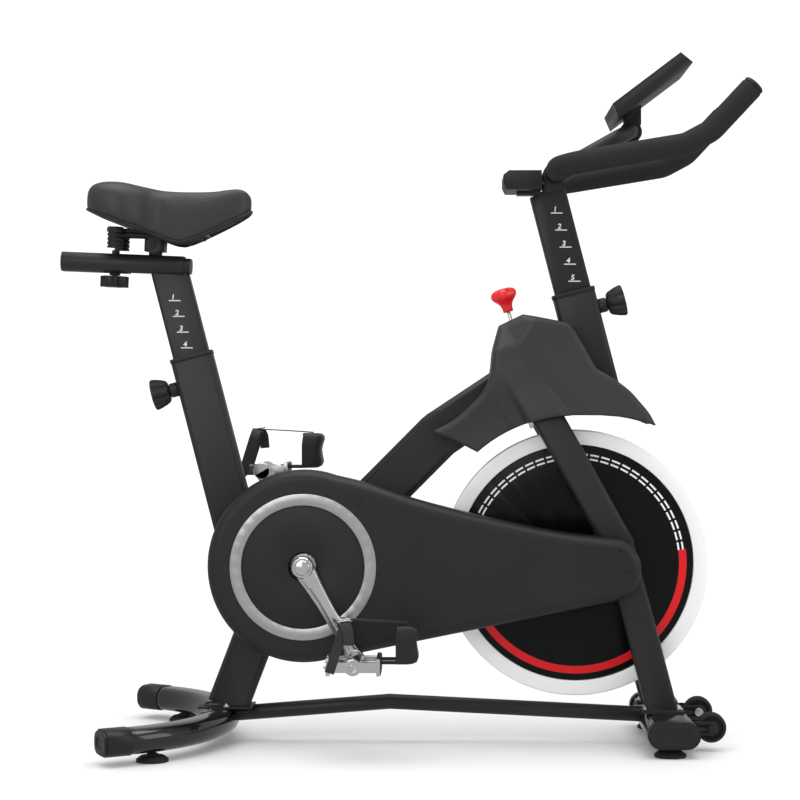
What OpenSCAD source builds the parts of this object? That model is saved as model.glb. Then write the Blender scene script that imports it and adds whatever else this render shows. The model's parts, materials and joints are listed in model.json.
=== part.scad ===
// An upright indoor exercise bike: belt drive, front flywheel, adjustable saddle and handlebar.
// X points forward, Y to the rider's left and Z up. The floor is at Z = 0.
// Points in the plane of the frame are written [x, z].

/* [Frame] */
// Height of the crank and flywheel centres above the floor
axle_z = 296; // [294:1:298]
// Distance from the middle of the bike back to the crank
crank_back = 160; // [158:1:162]
// Distance from the middle of the bike forward to the flywheel
wheel_ahead = 282; // [281:1:284]
// Lean of the seat tube and the head tube back from upright, in degrees
post_lean = 14.5; // [14.25:0.25:14.75]
// Wall of the frame tubes
wall = 3; // [2:0.5:3]
// Width of the seat tube and head tube along the bike
tube_w = 70; // [70:1:72]
// Thickness of the seat tube, head tube and main tube across the bike
tube_t = 40; // [40:1:42]

/* [Stabilisers] */
// Half of the front stabiliser's length, to the outside of its caps
front_half = 165; // [160:1:180]
// Radius of the rear stabiliser's curve in plan
rear_r = 250; // [248:1:252]
// Height of both stabiliser tubes
stab_h = 40; // [40:1:41]

/* [Drive] */
// Length of a crank arm between its centres
crank_len = 168; // [160:1:172]
// Crank angle from straight down, in degrees
crank_angle = 30.5; // [28:0.5:33]
// Radius of the pulley on the crank
big_r = 105; // [100:1:108]
// Radius of the pulley on the flywheel's axle
small_r = 26; // [24:1:28]
// Outer radius of the flywheel
wheel_r = 218.5; // [216:0.5:219]
// Thickness of the flywheel's rim
rim_t = 26; // [22:1:28]

/* [Posts] */
// Width of the sliding posts along the bike
post_w = 60; // [58:1:60]
// Thickness of the sliding posts across the bike
post_t = 30; // [28:1:30]
// Diameter of the bare handlebar tube
bar_d = 25; // [24:0.5:26]
// Diameter of the foam grips
grip_d = 36; // [34:1:38]
// Distance between the two grips, centre to centre
grip_span = 332; // [320:1:340]

/* [Hidden] */
$fn = 64;
gap = 0.3;
fit = 0.05;
corner = 9;
bb = [-crank_back, axle_z];
hub = [wheel_ahead, axle_z];

// Frame points
seat_top = [-350, 631];
head_top = [280, 736];
seat_tube_len = 448;
head_tube_len = 160;
seat_kink = seat_top - seat_tube_len * [-sin(post_lean), cos(post_lean)];
leg_foot = [-291, 58];
main_foot = [-232, 214];
main_bend = [58, 506];
main_end = [292, 661];
main_h = 78;
fork_top = [200, 596];
fork_kink = [349, 331];
fork_foot = [421, 57];
fork_w = 50;
fork_t = 25;
fork_y = 49.5;
front_x = 428;
rear_x = -300;
stab_z = 16;
stab_mid = stab_z + stab_h / 2;
rear_half_angle = 60;
rear_cap = 45;

// Belt side, measured across the bike
belt_y = -80;
belt_w = 12;
cover_back_y = -62.5;
cover_face_y = -105;
cover_r = 155;
nose = [331, axle_z - 4];
nose_r = 52;
arm_in = 110;
arm_t = 13;
pedal_y = 181;
pedal_half = 43;

// Height knobs, measured out from the middle of a tube
knob_drop_seat = 42;
knob_drop_bar = 28;
boss_end = 48;
knob_in = 50;
knob_out = 78;

// Seat slider
slide_tilt = 2.4;
slide_mid = [-464, 788.5];
sleeve_len = 202;
sleeve_h = 32;
sleeve_w = 50;
stem_x = 52;
clamp_up = 31;
seat_post_up = 152;
seat_post_in = 190;

// Handlebar, as [x, z] of the tube centres
bar_rear = [247, 932];
bar_elbow = [468, 968];
bar_tip = [552, 1058];
loop_front = [372, 1002];
loop_y = 60;
bar_post_up = 173;
bar_post_in = 110;
bar_r = bar_d / 2;

// Brake rod, as distances down from its knob
rod_top = [167, 728];
rod_lean = 16.3;
rod_r = 3;

// Feet and transport wheels
foot_r = 25.5;
foot_front_y = 135;
foot_rear_angle = 50;
castor = [495, 38];
castor_r = 24;
castor_y = 83;

function unit(v) = v / norm(v);

// Places what is drawn along Z on the line that leaves p, leaning back by a degrees.
module lean_at(p, a) translate([p[0], 0, p[1]]) rotate([0, -a, 0]) children();

// Turns what is drawn along Z so that it lies along Y, from y0.
module across(p, y0) translate([p[0], y0, p[1]]) rotate([-90, 0, 0]) children();

module pin(p, y0, y1, r) across(p, y0) cylinder(h = y1 - y0, r = r);

module ring(p, y0, y1, r, bore) difference() {
    pin(p, y0, y1, r);
    pin(p, y0 - 1, y1 + 1, bore);
}

// A flat shape drawn in the plane of the frame, as a plate from y0 to y1
module plate(y0, y1) translate([0, y1, 0]) rotate([90, 0, 0]) linear_extrude(y1 - y0) children();

// A rectangle with rounded corners, each corner a fan of short sides
module rounded(w, t, r) polygon([for (c = [0:3], i = [0:5]) let (
    a = 90 * c + 18 * i,
    sx = (c == 0 || c == 3) ? 1 : -1,
    sy = c < 2 ? 1 : -1
) [sx * (w / 2 - r) + r * cos(a), sy * (t / 2 - r) + r * sin(a)]]);

// A flattened round: h high along x, w wide along y
module oval(h, w) {
    square([h, w - h], center = true);
    for (j = [-1, 1]) translate([0, j * (w - h) / 2]) circle(h / 2);
}

// A tube with rounded corners from p to q, open at both ends where it has a wall
module strut(p, q, w, t, hollow = wall) {
    d = q - p;
    translate([p[0], 0, p[1]]) rotate([0, atan2(d[0], d[1]), 0]) linear_extrude(norm(d)) difference() {
        rounded(w, t, corner);
        if (hollow > 0) rounded(w - 2 * hollow, t - 2 * hollow, corner - hollow);
    }
}

module rod(p, q, r) {
    d = q - p;
    b = acos(d[2] / norm(d));
    translate(p) rotate([0, b, atan2(d[1], d[0])]) cylinder(h = norm(d), r = r);
}

// A round tube through a list of points, with a ball at each bend
module pipe(points, r) {
    for (i = [1:len(points) - 1]) rod(points[i - 1], points[i], r);
    if (len(points) > 2) for (i = [1:len(points) - 2]) translate(points[i]) sphere(r + 0.06);
}

module lobed(r, lobes) difference() {
    circle(r);
    for (i = [0:lobes - 1]) rotate(i * 360 / lobes) translate([r * 1.22, 0]) circle(r * 0.42);
}

module dome_bolt(r) {
    cylinder(h = 2, r = r * 1.5);
    translate([0, 0, 2]) intersection() {
        cylinder(h = r, r = r);
        sphere(r * 1.02);
    }
}

// Frame

module rear_arc(h, w, from, to) rotate([0, 0, from]) rotate_extrude(angle = to - from)
    translate([rear_r, 0]) rotate(90) rounded(h, w, 17);

function rear_point(a, out = 0) =
    [rear_x - rear_r + (rear_r + out) * cos(a), (rear_r + out) * sin(a)];

module rear_cap_at(side, d) translate([rear_x - rear_r, 0, stab_mid]) rotate([0, 0, side * rear_half_angle])
    translate([rear_r, side * d, 0]) children();

module rear_stabiliser() color("#161617") difference() {
    translate([rear_x - rear_r, 0, stab_mid]) rear_arc(stab_h, 52, -rear_half_angle, rear_half_angle);
    translate([rear_x - rear_r, 0, stab_mid])
        rear_arc(stab_h - 2 * wall, 52 - 2 * wall, -rear_half_angle - 1, rear_half_angle + 1);
    for (s = [-1, 1]) foot_hole(concat(rear_point(s * foot_rear_angle), 0));
}

module foot_hole(p) translate([p[0], p[1], -1]) cylinder(h = 40, r = 5 + fit);

module front_stabiliser() color("#161617") difference() {
    translate([front_x, -front_half + 24, stab_mid]) rotate([-90, 0, 0]) linear_extrude(2 * front_half - 48)
        difference() {
            rotate(90) oval(stab_h, 80);
            rotate(90) oval(stab_h - 2 * wall, 80 - 2 * wall);
        }
    for (s = [-1, 1]) foot_hole([front_x - 4, s * foot_front_y, 0]);
}

module front_cap(side) {
    mirrored = side < 0 ? 1 : 0;
    translate([front_x, 0, stab_mid + 0.5]) mirror([0, mirrored, 0]) difference() {
        union() {
            translate([0, front_half - 24, 0]) rotate([-90, 0, 0]) linear_extrude(20) rotate(90) oval(stab_h + 3, 83);
            translate([0, front_half - 4, 0]) rotate([-90, 0, 0]) linear_extrude(4) rotate(90) oval(stab_h - 3, 77);
        }
        translate([0, front_half - 25, -0.5]) rotate([-90, 0, 0]) linear_extrude(1 + gap) rotate(90) oval(stab_h, 80);
        translate([0, front_half - 1.5, 0]) rotate([-90, 0, 0]) linear_extrude(3) rotate(90) oval(20, 52);
    }
}

module stabiliser_caps() color("#232324") {
    for (s = [-1, 1]) front_cap(s);
    for (s = [-1, 1]) rear_cap_at(s, 0) rotate([-90 * s, 0, 0]) difference() {
        union() {
            linear_extrude(rear_cap - 4) rotate(90) rounded(stab_h + 2, 54, 17);
            translate([0, 0, rear_cap - 4]) linear_extrude(4) rotate(90) rounded(stab_h - 4, 48, 14);
        }
        translate([0, 0, rear_cap - 1.5]) linear_extrude(3) rotate(90) rounded(18, 30, 8);
    }
}

module bottom_tube() color("#1b1b1c") {
    ends = [[-285, 0, 44], [-23, 0, 65], [400, 0, 45]];
    pipe(ends, 12.5);
}

module seat_tube() color("#1d1d1e") difference() {
    strut(seat_kink, seat_top, tube_w, tube_t);
    lean_at(seat_top, post_lean) translate([-tube_w, 0, -knob_drop_seat]) rotate([0, 90, 0]) cylinder(h = tube_w, r = 5 + fit);
    pin(seat_kink, -tube_t, tube_t, 24);
}

module rear_leg() color("#1d1d1e") {
    difference() {
        union() {
            strut(leg_foot, seat_kink, 68, tube_t, 0);
            pin(seat_kink, -tube_t / 2, tube_t / 2, 33.6);
        }
        strut(leg_foot + [-3, -8], seat_kink - [5, 13], 68 - 2 * wall, tube_t - 2 * wall, 0);
        translate([leg_foot[0] - 60, -50, -1]) cube([120, 100, stab_z + stab_h + 1]);
        strut(seat_kink, seat_top, tube_w - 2 * wall, tube_t - 2 * wall, 0);
    }
    translate([leg_foot[0] - 47, -31, stab_z + stab_h - 14]) difference() {
        cube([90, 62, 17]);
        translate([-1, -1, -1]) cube([92, 64, 15]);
    }
}

module main_tube() color("#1d1d1e") difference() {
    union() {
        strut(main_foot, main_bend, main_h, tube_t);
        strut(main_bend, main_end, main_h, tube_t);
        pin(main_bend, -tube_t / 2, tube_t / 2, main_h / 2 - 0.4);
        pin(bb, -34, 34, 29);
        strut_flat(fork_top, fork_top + 40 * unit(fork_kink - fork_top), 46, 2 * fork_y + fork_t);
    }
    pin(bb, -35, 35, 20);
    lean_at(head_top, post_lean) translate([0, 0, -head_tube_len - 60]) linear_extrude(head_tube_len + 90)
        rounded(tube_w - 1, tube_t + 2, corner);
    rod_line() cylinder(h = 260, r = 9);
}

module head_tube() color("#1d1d1e") difference() {
    strut(head_top - head_tube_len * [-sin(post_lean), cos(post_lean)], head_top, tube_w, tube_t);
    lean_at(head_top, post_lean) translate([0, 0, -knob_drop_bar]) rotate([0, 90, 0]) cylinder(h = tube_w, r = 5 + fit);
}

module fork(side) color("#1d1d1e") translate([0, side * fork_y, 0]) difference() {
    union() {
        strut(fork_kink, fork_top, fork_w, fork_t);
        strut(fork_foot, fork_kink, fork_w, fork_t);
        pin(fork_kink, -fork_t / 2, fork_t / 2, fork_w / 2 - 0.4);
        pin(hub, -6, 6, 31);
        plate(-6, 6) polygon([hub + [4, 30], fork_kink + [-6, 40], fork_kink + [12, -50], hub + [4, -30]]);
        translate([fork_foot[0] - 34, -20, fork_foot[1] - 1]) cube([68, 40, 5]);
    }
    pin(hub, -7, 7, 20);
    translate([fork_foot[0] - 60, -30, 0]) cube([120, 60, stab_z + stab_h]);
}

// The 4 bearings: two for the crank in the bottom bracket, two for the flywheel in the fork.
module bearings() color("silver") {
    for (s = [-1, 1]) ring(bb, s * 27 - 6, s * 27 + 6, 20, 10 + fit);
    for (s = [-1, 1]) ring(hub, s * fork_y - 6, s * fork_y + 6, 20, 8.5 + fit);
}

// Belt cover

// A slab of the cover's outline from y0 to y1, drawn smaller by d all round
module cover_slab(y0, y1, d) {
    pin(bb, y0, y1, cover_r - d);
    pin(nose, y0, y1, nose_r - d);
    plate(y0, y1) polygon([bb + [0, cover_r - d], bb + [50, 146 - d], bb + [94, 136 - d], bb + [188, 106 - d], bb + [383, 61 - d],
        nose + [8, nose_r - d], nose + [nose_r - d, 4], nose + [11, d - nose_r + 1], bb + [32, d - cover_r + 3]]);
}

module belt_cover_inner() color("#18181a") difference() {
    cover_slab(cover_back_y - 3, cover_back_y, 3);
    pin(bb, cover_back_y - 5, cover_back_y + 2, 24);
    pin(hub, cover_back_y - 5, cover_back_y + 2, 24);
}

module belt_cover_outer() color("#1f1f21") difference() {
    union() {
        cover_slab(cover_face_y + 9, cover_back_y, 0);
        cover_slab(cover_face_y + 5, cover_face_y + 10, 1.4);
        cover_slab(cover_face_y + 2, cover_face_y + 6, 4.2);
        cover_slab(cover_face_y, cover_face_y + 3, 8);
    }
    cover_slab(cover_face_y + 9, cover_back_y + 1, 3);
    cover_slab(cover_face_y + 3, cover_face_y + 10, 9);
    pin(bb, cover_face_y - 1, cover_face_y + 4, 99);
}

module cover_ring() color("silver") ring(bb, cover_face_y - 2, cover_face_y, 117.4, 99);

module cover_disc() color("#202022") ring(bb, cover_face_y, cover_face_y + 3, 99, 23.6);

// Shroud over the top of the fork and the flywheel

shroud_back = [[50, 512], [107, 551], [134, 580], [143, 604], [146, 640], [157, 684]];
shroud_roof = [[195, 702], [267, 688], [275, 681], [313, 614], [348, 593], [384, 562], [409, 525]];
shroud_half_w = 66;
shroud_wall = 3;
shroud_middle = [235, 585];

// The arch over the flywheel, r from its centre
function shroud_arch(r) = [for (a = [68:12:128]) hub + r * [cos(a), sin(a)]];

function drawn_in(points, d) = [for (p = points) p - d * unit(p - shroud_middle)];

// One half of the shroud: a shell that is open below and towards the other half
module shroud(side) color("#1c1c1e") mirror([0, side < 0 ? 1 : 0, 0]) difference() {
    plate(gap / 2, shroud_half_w) polygon(concat(shroud_back, shroud_roof, [[372, 522]], shroud_arch(243), [[98, 490]]));
    plate(-1, shroud_half_w - shroud_wall) polygon(concat(drawn_in(shroud_back, shroud_wall),
        drawn_in(shroud_roof, shroud_wall), [[372, 512]], shroud_arch(234), [[104, 480]]));
    strut(main_foot, main_bend + 20 * unit(main_bend - main_foot), main_h + 4, tube_t + 3, 0);
    strut(main_bend - 20 * unit(main_end - main_bend), main_end, main_h + 4, tube_t + 3, 0);
    strut(head_top - 200 * [-sin(post_lean), cos(post_lean)], head_top, tube_w + 3, tube_t + 3, 0);
    rod_line() cylinder(h = 120, r = 7);
}

// Collars, bosses and the brake

module post_collar() {
    difference() {
        union() {
            linear_extrude(7) rounded(tube_w + 2, tube_t + 2, corner + 1);
            translate([0, 0, -18]) linear_extrude(19) rounded(tube_w - 2 * wall, tube_t - 2 * wall, corner - wall);
        }
        translate([0, 0, -25]) linear_extrude(40) rounded(post_w + 2 * gap, post_t + 2 * gap, 5);
    }
}

module post_collars() color("#29292a") {
    lean_at(seat_top, post_lean) post_collar();
    lean_at(head_top, post_lean) post_collar();
}

// Draws along the axis of a height knob: away from the tube's middle is +Z.
module knob_axis(top, drop, back) lean_at(top, post_lean) translate([0, 0, -drop])
    rotate([0, back ? -90 : 90, 0]) children();

module knob_boss() translate([0, 0, tube_w / 2]) difference() {
    cylinder(h = boss_end - tube_w / 2, r = 12);
    translate([0, 0, -1]) cylinder(h = 30, r = 5 + fit);
}

module knob_bosses() color("#2a2a2b") {
    knob_axis(seat_top, knob_drop_seat, true) knob_boss();
    knob_axis(head_top, knob_drop_bar, false) knob_boss();
}

module rod_line() translate([rod_top[0], 0, rod_top[1]]) rotate([0, 180 - rod_lean, 0]) children();

module brake_sleeve() color("silver") rod_line() translate([0, 0, 62]) difference() {
    cylinder(h = 112, r = 9);
    translate([0, 0, -1]) cylinder(h = 114, r = rod_r + fit);
}

module brake_rod() color("#c9c9c9") rod_line() {
    translate([0, 0, -8]) cylinder(h = 205, r = rod_r);
    translate([-20, -12, 196]) cube([40, 24, 19]);
}

module resistance_knob() color("#b3151b") rod_line() rotate_extrude() difference() {
    union() {
        translate([0, -14]) square([20, 17]);
        translate([0, 2]) square([9, 18]);
    }
    translate([0, -8.2]) square([rod_r + fit, 40]);
    translate([20, -14]) rotate(45) square(9, center = true);
}

// Drive

// The space inside a loop round both pulleys, w wide and grown outward by d
module belt_loop(w, d) {
    span = norm(hub - bb);
    a = acos((big_r - small_r) / span);
    pin(bb, belt_y - w / 2, belt_y + w / 2, big_r + d);
    pin(hub, belt_y - w / 2, belt_y + w / 2, small_r + d);
    plate(belt_y - w / 2, belt_y + w / 2) polygon([bb + (big_r + d) * [cos(a), sin(a)], hub + (small_r + d) * [cos(a), sin(a)],
        hub + (small_r + d) * [cos(a), -sin(a)], bb + (big_r + d) * [cos(a), -sin(a)]]);
}

module drive_belt() color("#111111") difference() {
    belt_loop(belt_w, 3 + gap);
    belt_loop(belt_w + 2, gap);
}

module flywheel() color("#d9d9da") across(hub, 0) rotate_extrude($fn = 128) difference() {
    union() {
        translate([9, -5]) square([195 - 9, 10]);
        translate([194, -rim_t / 2]) square([wheel_r - 194, rim_t]);
        translate([8.5, -22]) square([26, 44]);
    }
    for (s = [-1, 1]) translate([wheel_r, s * rim_t / 2]) rotate(45) square(3, center = true);
}

module flywheel_faces() color("#0e0e0f") for (s = [-1, 1])
    ring(hub, s > 0 ? 5 : -9, s > 0 ? 9 : -5, 193.5, 34.5);

module flywheel_axle() color("silver") {
    pin(hub, -93, 60, 8.5);
    ring(hub, belt_y - 8, belt_y + 8, small_r, 8.5);
}

module crank_axle() color("silver") pin(bb, -arm_in - arm_t + 1, arm_in + arm_t - 1, 10);

module crank_pulley() color("#8d8d90") {
    ring(bb, belt_y - 8, belt_y + 8, big_r, big_r - 9);
    difference() {
        ring(bb, belt_y - 3, belt_y + 3, big_r - 8.9, 10);
        for (a = [0:60:300]) pin(bb + 58 * [cos(a), sin(a)], belt_y - 9, belt_y + 9, 19);
    }
    ring(bb, belt_y - 12, belt_y + 12, 22, 10);
}

function pedal_point(side) = bb + side * crank_len * [-sin(crank_angle), cos(crank_angle)];

// One crank arm: side is -1 on the rider's right and 1 on the left.
module crank(side) color("#cfcfd1") {
    p = pedal_point(side);
    y0 = side > 0 ? arm_in : -arm_in - arm_t;
    difference() {
        union() {
            pin(bb, y0, y0 + arm_t, 18);
            pin(bb, side > 0 ? arm_in - 3 : -arm_in - 3, side > 0 ? arm_in + 3 : -arm_in + 3, 16);
            pin(p, y0, y0 + arm_t, 14.5);
            translate([0, y0 + arm_t / 2, 0]) strut_flat(bb, p, 22, arm_t);
        }
        pin(bb, -200, 200, 10);
        pin(p, y0 - 1, y0 + arm_t + 1, 7);
    }
    pin(p, side > 0 ? y0 : -pedal_y - pedal_half, side > 0 ? pedal_y + pedal_half : y0 + arm_t, 6);
    ring(p, y0, y0 + arm_t, 7, 6);
    pin(bb, side > 0 ? arm_in + arm_t : -arm_in - arm_t - 3, side > 0 ? arm_in + arm_t + 3 : -arm_in - arm_t, 14);
}

// A plain rectangular bar from p to q
module strut_flat(p, q, w, t) {
    d = q - p;
    translate([p[0], 0, p[1]]) rotate([0, atan2(d[0], d[1]), 0]) translate([-w / 2, -t / 2, 0]) cube([w, t, norm(d)]);
}

// One pedal, drawn round its axle with the toe forward
module pedal(side) color("#d4d4d6") at_pedal(side) difference() {
        union() {
            rotate([-90, 0, 0]) translate([0, 0, -pedal_half]) cylinder(h = 2 * pedal_half, r = 13);
            for (s = [-1, 1]) translate([s * 39 - 3, -pedal_half, -13]) cube([6, 2 * pedal_half, 26]);
            for (s = [-1, 1]) translate([-42, s * (pedal_half - 3) - 3, -8]) cube([84, 6, 16]);
            translate([-42, -8, -6]) cube([84, 16, 12]);
            for (s = [-1, 1]) translate([-46, s * 22, 0]) rotate([0, 90, 0]) cylinder(h = 6, r = 5.5);
        }
        rotate([-90, 0, 0]) translate([0, 0, -pedal_half - 1]) cylinder(h = 2 * pedal_half + 2, r = 6 + fit);
    }

// Draws round a pedal's centre, with the toe forward.
module at_pedal(side) {
    p = pedal_point(side);
    translate([p[0], side * pedal_y, p[1]]) children();
}

// Toe cage: a hoop in front of the toes, open at the back and at the sides, on two flat bars
module toe_cage(side) color("#151516") at_pedal(side) {
    for (s = [-1, 1]) translate([42, s * 22 - 7, 5]) cube([26, 14, 4]);
    difference() {
        plate(-38, 38) polygon([[64, 4], [96, 4], [103, 12], [99, 34], [104, 52], [98, 63], [64, 63]]);
        plate(-33, 33) polygon([[60, 9], [92, 9], [96, 14], [93, 34], [97, 50], [94, 58], [60, 58]]);
    }
}

// Strap: up from both sides of the pedal, over the foot, with its buckle and a tail to the cage
module toe_strap(side) color("#101011") at_pedal(side) {
    difference() {
        translate([-9, -46, 9]) cube([18, 92, 60]);
        translate([-10, -43.5, 8]) cube([20, 87, 58.5]);
    }
    translate([-12, side > 0 ? 46 : -51, 42]) cube([24, 5, 20]);
    translate([8.5, -9, 66.5]) cube([61, 18, 2.5]);
    translate([66, -9, 62.9]) cube([12, 18, 3.7]);
}

// Saddle and its slider

// Draws along the slider: +Z is forward, +X is down.
module slide_axis(along) translate([slide_mid[0], 0, slide_mid[1]]) rotate([0, 90 + slide_tilt, 0])
    translate([0, 0, along]) children();

// Draws upright on the slider at a place along it.
module slide_up(along) slide_axis(along) rotate([0, -90, 0]) children();

module seat_post() color("#2b2b2d") difference() {
    lean_at(seat_top, post_lean) translate([0, 0, -seat_post_in]) linear_extrude(seat_post_in + seat_post_up) difference() {
        rounded(post_w, post_t, 5);
        rounded(post_w - 5, post_t - 5, 3);
    }
    slide_axis(-120) linear_extrude(240) oval(sleeve_h - 6.6, sleeve_w - 6.6);
    slide_axis(-120) translate([-30, -30, 0]) cube([30, 60, 240]);
    lean_at(seat_top, post_lean) for (i = [-6:3]) translate([-post_w, 0, i * 27 - knob_drop_seat])
        rotate([0, 90, 0]) cylinder(h = post_w, r = 5.2);
}

module slider_rail() color("#1f1f20") slide_axis(-60) linear_extrude(172) oval(sleeve_h - 6.6, sleeve_w - 6.6);

module slider_sleeve() color("#19191a") {
    difference() {
        slide_axis(-sleeve_len / 2) linear_extrude(sleeve_len) oval(sleeve_h, sleeve_w);
        slide_axis(-sleeve_len / 2 + 4) linear_extrude(sleeve_len) oval(sleeve_h - 6, sleeve_w - 6);
        slide_axis(10) translate([0, -17, 0]) cube([40, 34, 200]);
        slide_up(-14) translate([0, 0, -30]) cylinder(h = 30, r = 4 + fit);
    }
    slide_up(-14) translate([0, 0, -19.5]) difference() {
        cylinder(h = 3.6, r = 9);
        translate([0, 0, -1]) cylinder(h = 6, r = 4 + fit);
    }
    slide_up(stem_x) translate([0, 0, 15.5]) cylinder(h = 26, r = 11.1);
    slide_up(-14) translate([0, 0, 15.8]) cylinder(h = 6, r = 6.5, $fn = 6);
}

module slider_knob() color("#1b1b1c") slide_up(-14) {
    translate([0, 0, -39]) linear_extrude(18) lobed(23.5, 7);
    translate([0, 0, -22]) cylinder(h = 9, r = 4);
}

module saddle_clamp() color("#3a3a3c") slide_up(stem_x) difference() {
    union() {
        translate([-17, -14, 22]) cube([34, 28, 21]);
        translate([0, -21, clamp_up]) rotate([-90, 0, 0]) cylinder(h = 42, r = 4);
    }
    cylinder(h = 41.5, r = 11.1);
}

// The saddle's pan, its two rails, the cheeks that hold them on the clamp's bolt, and two coil springs
module saddle_base() color("#151516") slide_up(stem_x) {
    translate([-78, -26, 51]) cube([166, 52, 6]);
    for (s = [-1, 1]) rod([-74, s * 21, 48], [80, s * 21, 48], 4);
    for (s = [-1, 1]) translate([0, s * 17.3 - 3, clamp_up]) difference() {
        union() {
            rotate([-90, 0, 0]) cylinder(h = 6, r = 13);
            translate([-11, 0, 0]) cube([22, 6, 20]);
        }
        translate([0, -1, 0]) rotate([-90, 0, 0]) cylinder(h = 8, r = 4 + fit);
    }
    for (s = [-1, 1]) translate([-62, s * 36, 24]) difference() {
        cylinder(h = 34, r = 13);
        for (i = [0:3]) translate([0, 0, 4 + 7 * i]) rotate_extrude() translate([14, 0]) circle(2.4, $fn = 16);
    }
}

module saddle_cushion() color("#1a1a1b") difference() {
    hull() {
        for (s = [-1, 1]) translate([-452, s * 55, 873]) scale([59, 50, 43]) sphere(1, $fn = 32);
        for (s = [-1, 1]) translate([-382, s * 26, 860]) scale([62, 34, 46]) sphere(1, $fn = 32);
        translate([-290, 0, 888]) scale([38, 24, 25]) sphere(1, $fn = 32);
    }
    slide_up(stem_x) translate([-118, -28, 0]) cube([208, 56, 59]);
    slide_up(stem_x) for (s = [-1, 1]) translate([-62, s * 36, 0]) cylinder(h = 59, r = 16);
}

// Height knobs: a plunger through the boss, stopped just clear of the post, and its lobed knob
module height_knob() {
    translate([0, 0, post_w / 2 + gap]) cylinder(h = knob_in - post_w / 2, r = 5);
    translate([0, 0, knob_in]) linear_extrude(knob_out - knob_in - 8) lobed(24, 6);
    translate([0, 0, knob_out - 8]) cylinder(h = 8, r1 = 17, r2 = 13);
}

module seat_knob() color("#1b1b1c") knob_axis(seat_top, knob_drop_seat, true) height_knob();

module handlebar_knob() color("#1b1b1c") knob_axis(head_top, knob_drop_bar, false) height_knob();

// Handlebar

function bar3(p, y) = [p[0], y, p[1]];

module handlebar_post() color("#2b2b2d") difference() {
    union() {
        lean_at(head_top, post_lean) translate([0, 0, -bar_post_in]) linear_extrude(bar_post_in + bar_post_up)
            difference() {
                rounded(post_w, post_t, 5);
                rounded(post_w - 5, post_t - 5, 3);
            }
        pin(bar_rear, -26, 26, 19);
        lean_at(head_top, post_lean) translate([-6, -24, bar_post_up - 1]) cube([34, 48, 16]);
        translate([186, -13, 900]) cube([48, 26, 6]);
    }
    pin(bar_rear, -30, 30, bar_r);
    lean_at(head_top, post_lean) for (i = [-2:2]) translate([0, 0, i * 29 - knob_drop_bar])
        rotate([0, 90, 0]) cylinder(h = post_w, r = 5.2);
}

module handlebar() color("#1d1d1e") {
    half = grip_span / 2;
    pipe([bar3(bar_tip, -half), bar3(bar_elbow, -half), bar3(bar_rear, -half), bar3(bar_rear, half),
        bar3(bar_elbow, half), bar3(bar_tip, half)], bar_r);
}

module aero_loop() color("#1d1d1e") difference() {
    pipe([bar3(bar_rear, -loop_y), bar3(loop_front, -loop_y), bar3(loop_front, loop_y), bar3(bar_rear, loop_y)], bar_r);
    pin(bar_rear, -100, 100, bar_r);
}

module grip(side) {
    half = side * grip_span / 2;
    u = unit(bar_elbow - bar_rear);
    v = unit(bar_tip - bar_elbow);
    start = bar3(bar_rear + 14 * u, half);
    difference() {
        union() {
            pipe([start, bar3(bar_elbow, half), bar3(bar_tip - 6 * v, half)], grip_d / 2);
            rod(bar3(bar_tip - 6.1 * v, half), bar3(bar_tip + 4 * v, half), grip_d / 2 - 2.5);
        }
        pipe([bar3(bar_rear, half), bar3(bar_elbow, half), bar3(bar_tip, half)], bar_r);
    }
}

module grips() color("#161616") for (s = [-1, 1]) grip(s);

module console_body() color("#202022") difference() {
    plate(-50, 50) polygon([[163, 916], [168, 906], [225, 906], [225, 937], [172, 937], [163, 930]]);
    translate([182, -36, 936]) cube([36, 72, 2]);
    translate([174, 0, 930]) cylinder(h = 10, r = 5 + gap);
}

module console_button() color("#b3151b") translate([174, 0, 932]) cylinder(h = 7, r = 5);

module tablet_tray() color("#1c1c1e") {
    difference() {
        union() {
            ring(loop_front, -24, 24, 18, bar_r + fit);
            translate([loop_front[0] - 9, -20, loop_front[1] + 12]) cube([26, 40, 32]);
        }
        pin(loop_front, -30, 30, bar_r + fit);
        tray_frame() translate([-20, -100, 0]) cube([200, 200, 40]);
    }
    tray_frame() difference() {
        rotate([90, 0, 0]) translate([0, 0, -88]) linear_extrude(176)
            polygon([[0, 0], [148, 0], [142, 25], [6, 25]]);
        translate([16, -76, 9]) cube([116, 152, 20]);
        for (i = [-5:5]) translate([-1, i * 13 - 2, 12]) cube([18, 4, 20]);
    }
}

// Draws on the tray: +X runs up its slope and +Z is off its face.
module tray_frame() translate([347, 0, 1016]) rotate([0, -37, 0]) children();

// Transport wheels, feet and fixings

module castor_wheel(side) color("#1a1a1a") difference() {
    across(castor, side * castor_y - 11) rotate_extrude() difference() {
        translate([0, 0]) square([castor_r, 22]);
        for (z = [0, 22]) translate([castor_r, z]) rotate(45) square(5, center = true);
        for (z = [-2, 17]) translate([9, z]) square([9, 7]);
    }
    pin(castor, -200, 200, 4 + fit);
}

module wheel_brackets() color("#1d1d1e") for (s = [-1, 1], t = [-1, 1]) {
    y = s * castor_y + t * 13.3;
    difference() {
        union() {
            pin(castor, y - 1.5, y + 1.5, 11);
            translate([front_x + 24, y - 1.5, castor[1] - 11]) cube([castor[0] - front_x - 24, 3, 22]);
        }
        translate([front_x, -front_half, stab_mid]) rotate([-90, 0, 0]) linear_extrude(2 * front_half) rotate(90) oval(stab_h, 80);
        pin(castor, y - 3, y + 3, 4);
    }
}

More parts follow.
